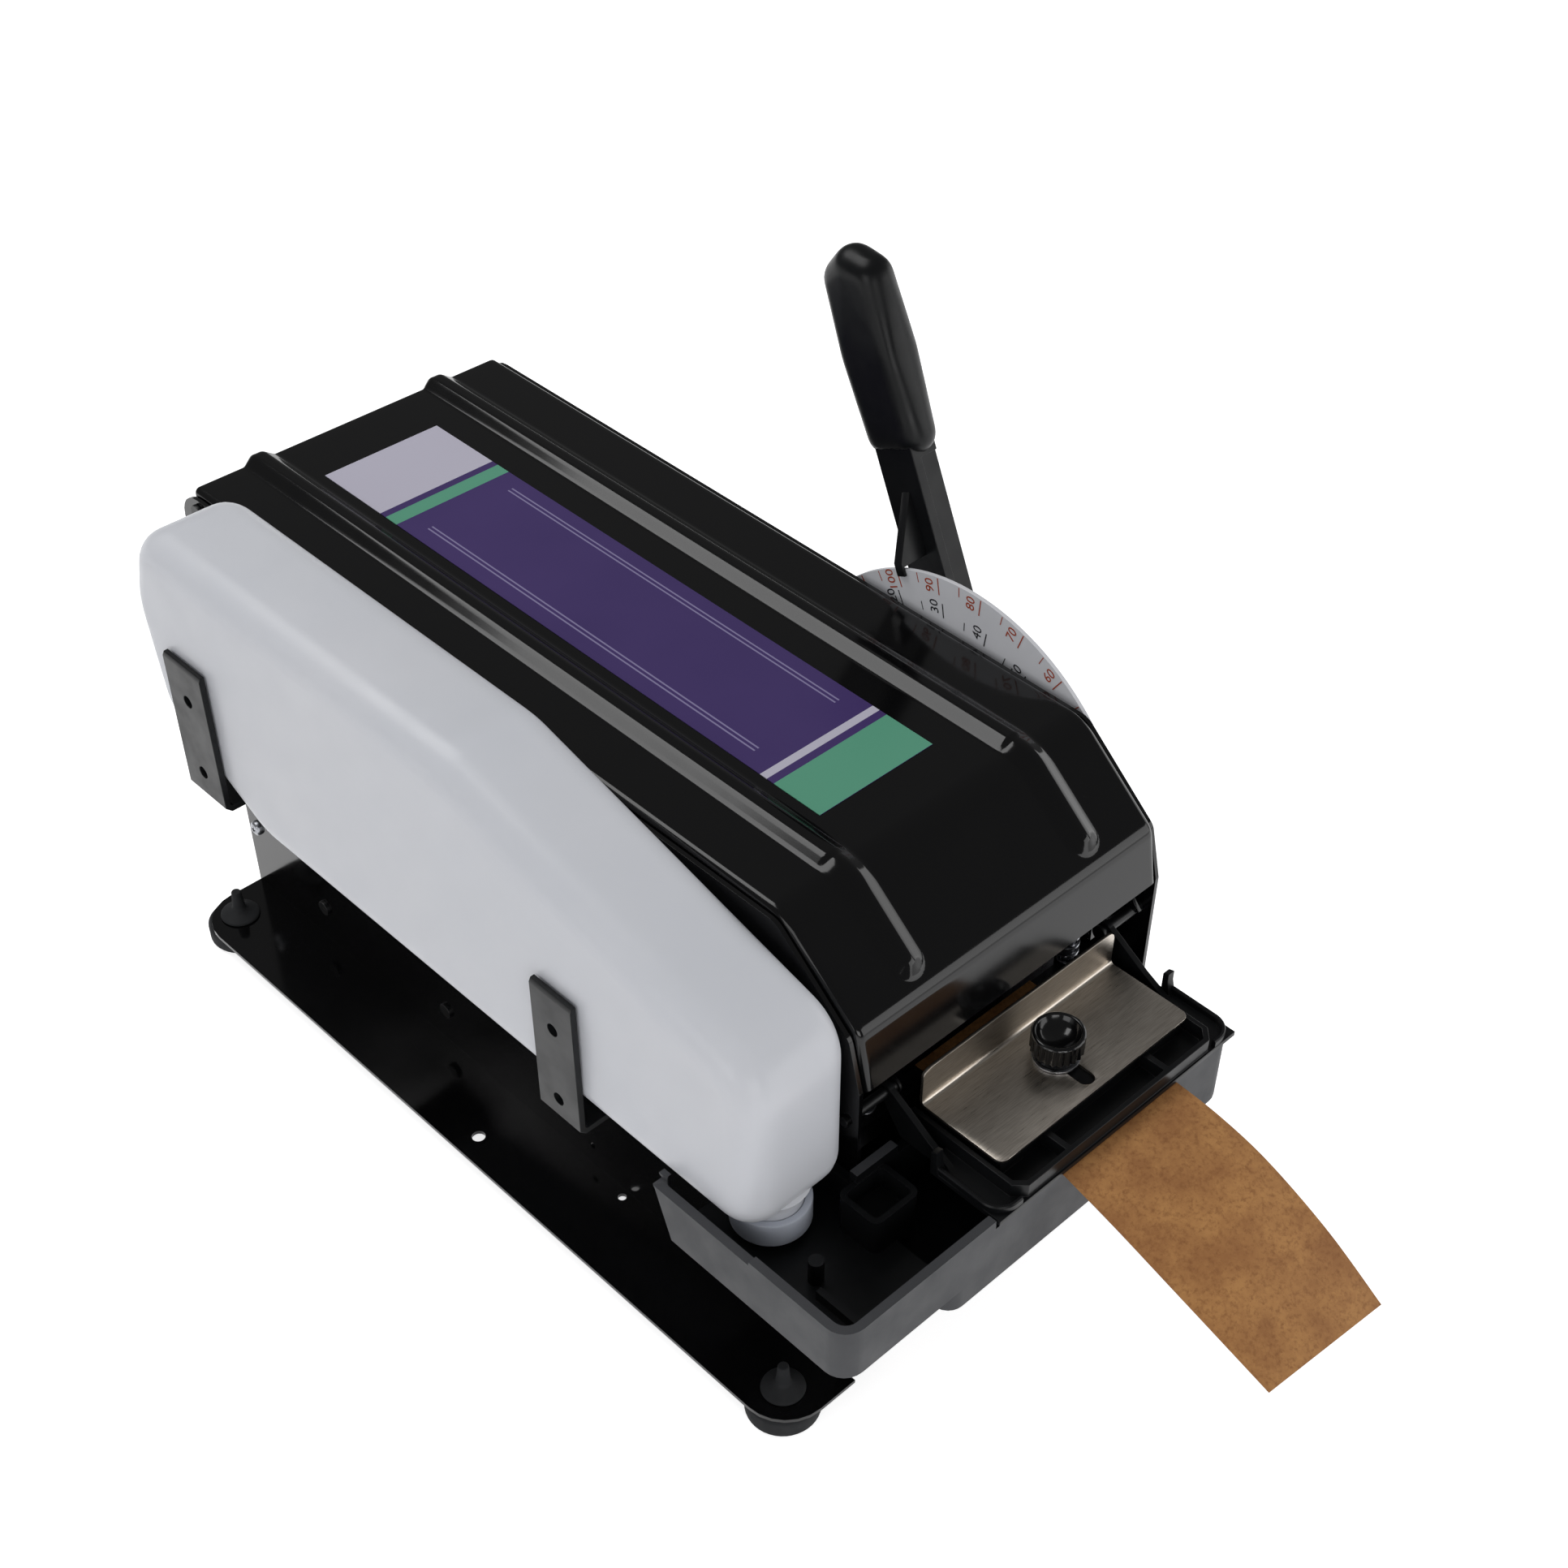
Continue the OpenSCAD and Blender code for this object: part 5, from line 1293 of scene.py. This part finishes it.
class DISPENSER_OT_brushes(bpy.types.Operator):
    """Tufted bristles of the two wetting brushes."""

    bl_idname = "dispenser.brushes"
    bl_label = "Brushes"

    def execute(self, context):
        low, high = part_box("brush_bristles")
        foot_radius, tip_radius, margin, row_gap, rows = 0.00042, 0.00022, 0.001, 0.00165, 4
        length = high.z - low.z - 0.0006
        shape = bmesh.new()
        bmesh.ops.create_cone(
            shape, cap_ends=True, segments=4, radius1=foot_radius, radius2=tip_radius, depth=length,
            matrix=Matrix.Translation((0, 0, length / 2)),
        )
        hair = show("bristle", plain("bristle", shape), MATERIALS["hair"])
        count = sizes_of(context).bristles
        span = high.x - low.x - 2 * margin
        places = []
        for first in (low.y + margin, high.y - 0.006):
            for j in range(rows):
                for i in range(count):
                    x = low.x + margin + span * i / (count - 1)
                    places.append(((x, first + j * row_gap, low.z), (0, 0, 1)))
        piece = repeated("bristle_rows", hair, places, MATERIALS["hair"], tilt=0.035)
        deliver(piece, "frame", "bristle", "brush_bristles")
        return {"FINISHED"}


class DISPENSER_OT_springs(bpy.types.Operator):
    """Coil springs round the cutter's rods."""

    bl_idname = "dispenser.springs"
    bl_label = "Springs"

    def execute(self, context):
        low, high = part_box("blade_springs")
        wire, coil, turns, steps, sides = 0.0007, 0.0041, 9, 20, 8
        # Share of the wire that lies flat at each end, and how far the rods stand in from the ends
        resting, inset = 0.08, 0.005
        middle_y = (low.y + high.y) / 2
        bottom, top = low.z + wire, high.z - wire
        count = turns * steps
        pieces = []
        for x in (low.x + inset, high.x - inset):
            points = []
            for i in range(count + 1):
                share = i / count
                rise = min(max((share - resting) / (1 - 2 * resting), 0.0), 1.0)
                angle = 2 * math.pi * turns * share
                out = Vector((math.cos(angle), math.sin(angle), 0))
                centre = Vector((x, middle_y, bottom + (top - bottom) * rise)) + out * coil
                for j in range(sides):
                    a = 2 * math.pi * j / sides
                    points.append(centre + (out * math.cos(a) + Vector((0, 0, 1)) * math.sin(a)) * wire)
            mesh = build_mesh("coil", points, tube_faces(count + 1, sides))
            pieces.append(show("coil", mesh, MATERIALS["zinc"]))
        piece = settle(joined("coil_springs", pieces, MATERIALS["zinc"]), 60)
        deliver(piece, "frame", "bright_steel", "blade_springs")
        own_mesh(piece)
        return {"FINISHED"}


class DISPENSER_OT_stage(bpy.types.Operator):
    """White paper floor, soft lamps, the room and the camera."""

    bl_idname = "dispenser.stage"
    bl_label = "Stage"

    def execute(self, context):
        scene = context.scene
        reach = 6.0
        corners = [(x * reach, y * reach, FLOOR) for x, y in ((-1, -1), (1, -1), (1, 1), (-1, 1))]
        mesh = bpy.data.meshes.new("floor")
        mesh.from_pydata(corners, [], [(0, 1, 2, 3)])
        floor = show("floor", mesh, paper_floor())

        world = bpy.data.worlds.new("studio")
        scene.world = world
        world.use_nodes = True
        tree = world.node_tree
        tree.nodes.clear()
        path = put(tree, "ShaderNodeLightPath").outputs
        # The room is white to the camera, and dim in reflections, as the photograph's black enamel shows it
        inputs = {"Value": path["Is Glossy Ray"], "To Min": 0.3, "To Max": 0.15}
        strength = put(tree, "ShaderNodeMapRange", inputs).outputs["Result"]
        dim = put(tree, "ShaderNodeBackground", {"Color": rgba("#ffffff"), "Strength": strength})
        white = put(tree, "ShaderNodeBackground", {"Color": rgba("#ffffff"), "Strength": 1.0})
        rays = {0: path["Is Camera Ray"], 1: path["Is Transmission Ray"]}
        seen = put(tree, "ShaderNodeMath", rays, operation="MAXIMUM").outputs[0]
        both = put(tree, "ShaderNodeMixShader", {0: seen, 1: dim.outputs[0], 2: white.outputs[0]})
        put(tree, "ShaderNodeOutputWorld", {"Surface": both.outputs[0]})

        # Name, place in metres, width and height in metres, power in watts
        lamps = [
            ("rear top softbox", (-0.22, 0.75, 1.5), 0.9, 0.9, 9.0),
            ("left softbox", (-1.5, -0.4, 0.7), 0.9, 0.7, 3.6),
            ("front left softbox", (-0.75, -1.5, 0.55), 0.8, 0.5, 4.0),
            ("front right softbox", (0.86, -1.38, 0.5), 1.2, 0.7, 5.0),
            ("right softbox", (1.5, -0.4, 0.42), 0.9, 0.6, 2.5),
        ]
        target = Vector((0.0, -0.04, 0.12))
        for name, spot, width, height, power in lamps:
            light = bpy.data.lights.new(name, "AREA")
            light.shape = "RECTANGLE"
            light.size, light.size_y = width, height
            light.energy = power
            lamp = bpy.data.objects.new(name, light)
            lamp.location = spot
            lamp.rotation_euler = (target - Vector(spot)).to_track_quat("-Z", "Y").to_euler()
            scene.collection.objects.link(lamp)

        scene.view_settings.view_transform = "Standard"
        self.camera(scene)
        return {"FINISHED"}

    def camera(self, scene):
        """The photograph's viewpoint."""
        azimuth, elevation, roll = math.radians(-47.44), math.radians(43.08), math.radians(2.72)
        eye = (-0.5113, -0.6191, 0.8346)
        # The lens as fitted to the photograph, in its pixels, and the sensor in millimetres
        focal_px, image_px, centre_px, sensor = 2824.42, 1932, (1098, 1101), 36
        back = Vector((
            math.sin(azimuth) * math.cos(elevation), -math.cos(azimuth) * math.cos(elevation),
            math.sin(elevation),
        ))
        level = Vector((math.cos(azimuth), math.sin(azimuth), 0))
        above = back.cross(level)
        right = level * math.cos(roll) + above * math.sin(roll)
        up = above * math.cos(roll) - level * math.sin(roll)
        data = bpy.data.cameras.new("camera")
        data.sensor_width = sensor
        data.lens = sensor * focal_px / image_px
        data.shift_x = (image_px / 2 - centre_px[0]) / image_px
        data.shift_y = (centre_px[1] - image_px / 2) / image_px
        data.clip_start = 0.01
        camera = bpy.data.objects.new("camera", data)
        scene.collection.objects.link(camera)
        turn = Matrix((right, up, back)).transposed().to_4x4()
        camera.matrix_world = Matrix.Translation(eye) @ turn
        scene.camera = camera


STEPS = (
    DISPENSER_OT_materials,
    DISPENSER_OT_stage,
    DISPENSER_OT_body,
    DISPENSER_OT_cover,
    DISPENSER_OT_bottle,
    DISPENSER_OT_lever,
    DISPENSER_OT_press,
    DISPENSER_OT_knob,
    DISPENSER_OT_tape,
    DISPENSER_OT_dial,
    DISPENSER_OT_fasteners,
    DISPENSER_OT_brushes,
    DISPENSER_OT_springs,
)


class DISPENSER_PT_panel(bpy.types.Panel):
    """Lists the settings and the steps."""

    bl_idname = "DISPENSER_PT_panel"
    bl_label = "Tape dispenser"
    bl_space_type = "VIEW_3D"
    bl_region_type = "UI"
    bl_category = "Dispenser"

    def draw(self, context):
        layout = self.layout
        for group in (finish_of(context), sizes_of(context)):
            for name in group.__annotations__:
                layout.prop(group, name)
        for step in STEPS:
            layout.operator(step.bl_idname)


CLASSES = (DispenserFinish, DispenserSizes, *STEPS, DISPENSER_PT_panel)


def register():
    for item in CLASSES:
        bpy.utils.register_class(item)
    bpy.types.Scene.dispenser_finish = PointerProperty(type=DispenserFinish)
    bpy.types.Scene.dispenser_sizes = PointerProperty(type=DispenserSizes)


def unregister():
    del bpy.types.Scene.dispenser_sizes
    del bpy.types.Scene.dispenser_finish
    for item in reversed(CLASSES):
        bpy.utils.unregister_class(item)


def main():
    register()
    for step in STEPS:
        group, name = step.bl_idname.split(".")
        getattr(getattr(bpy.ops, group), name)()


if __name__ == "__main__":
    main()
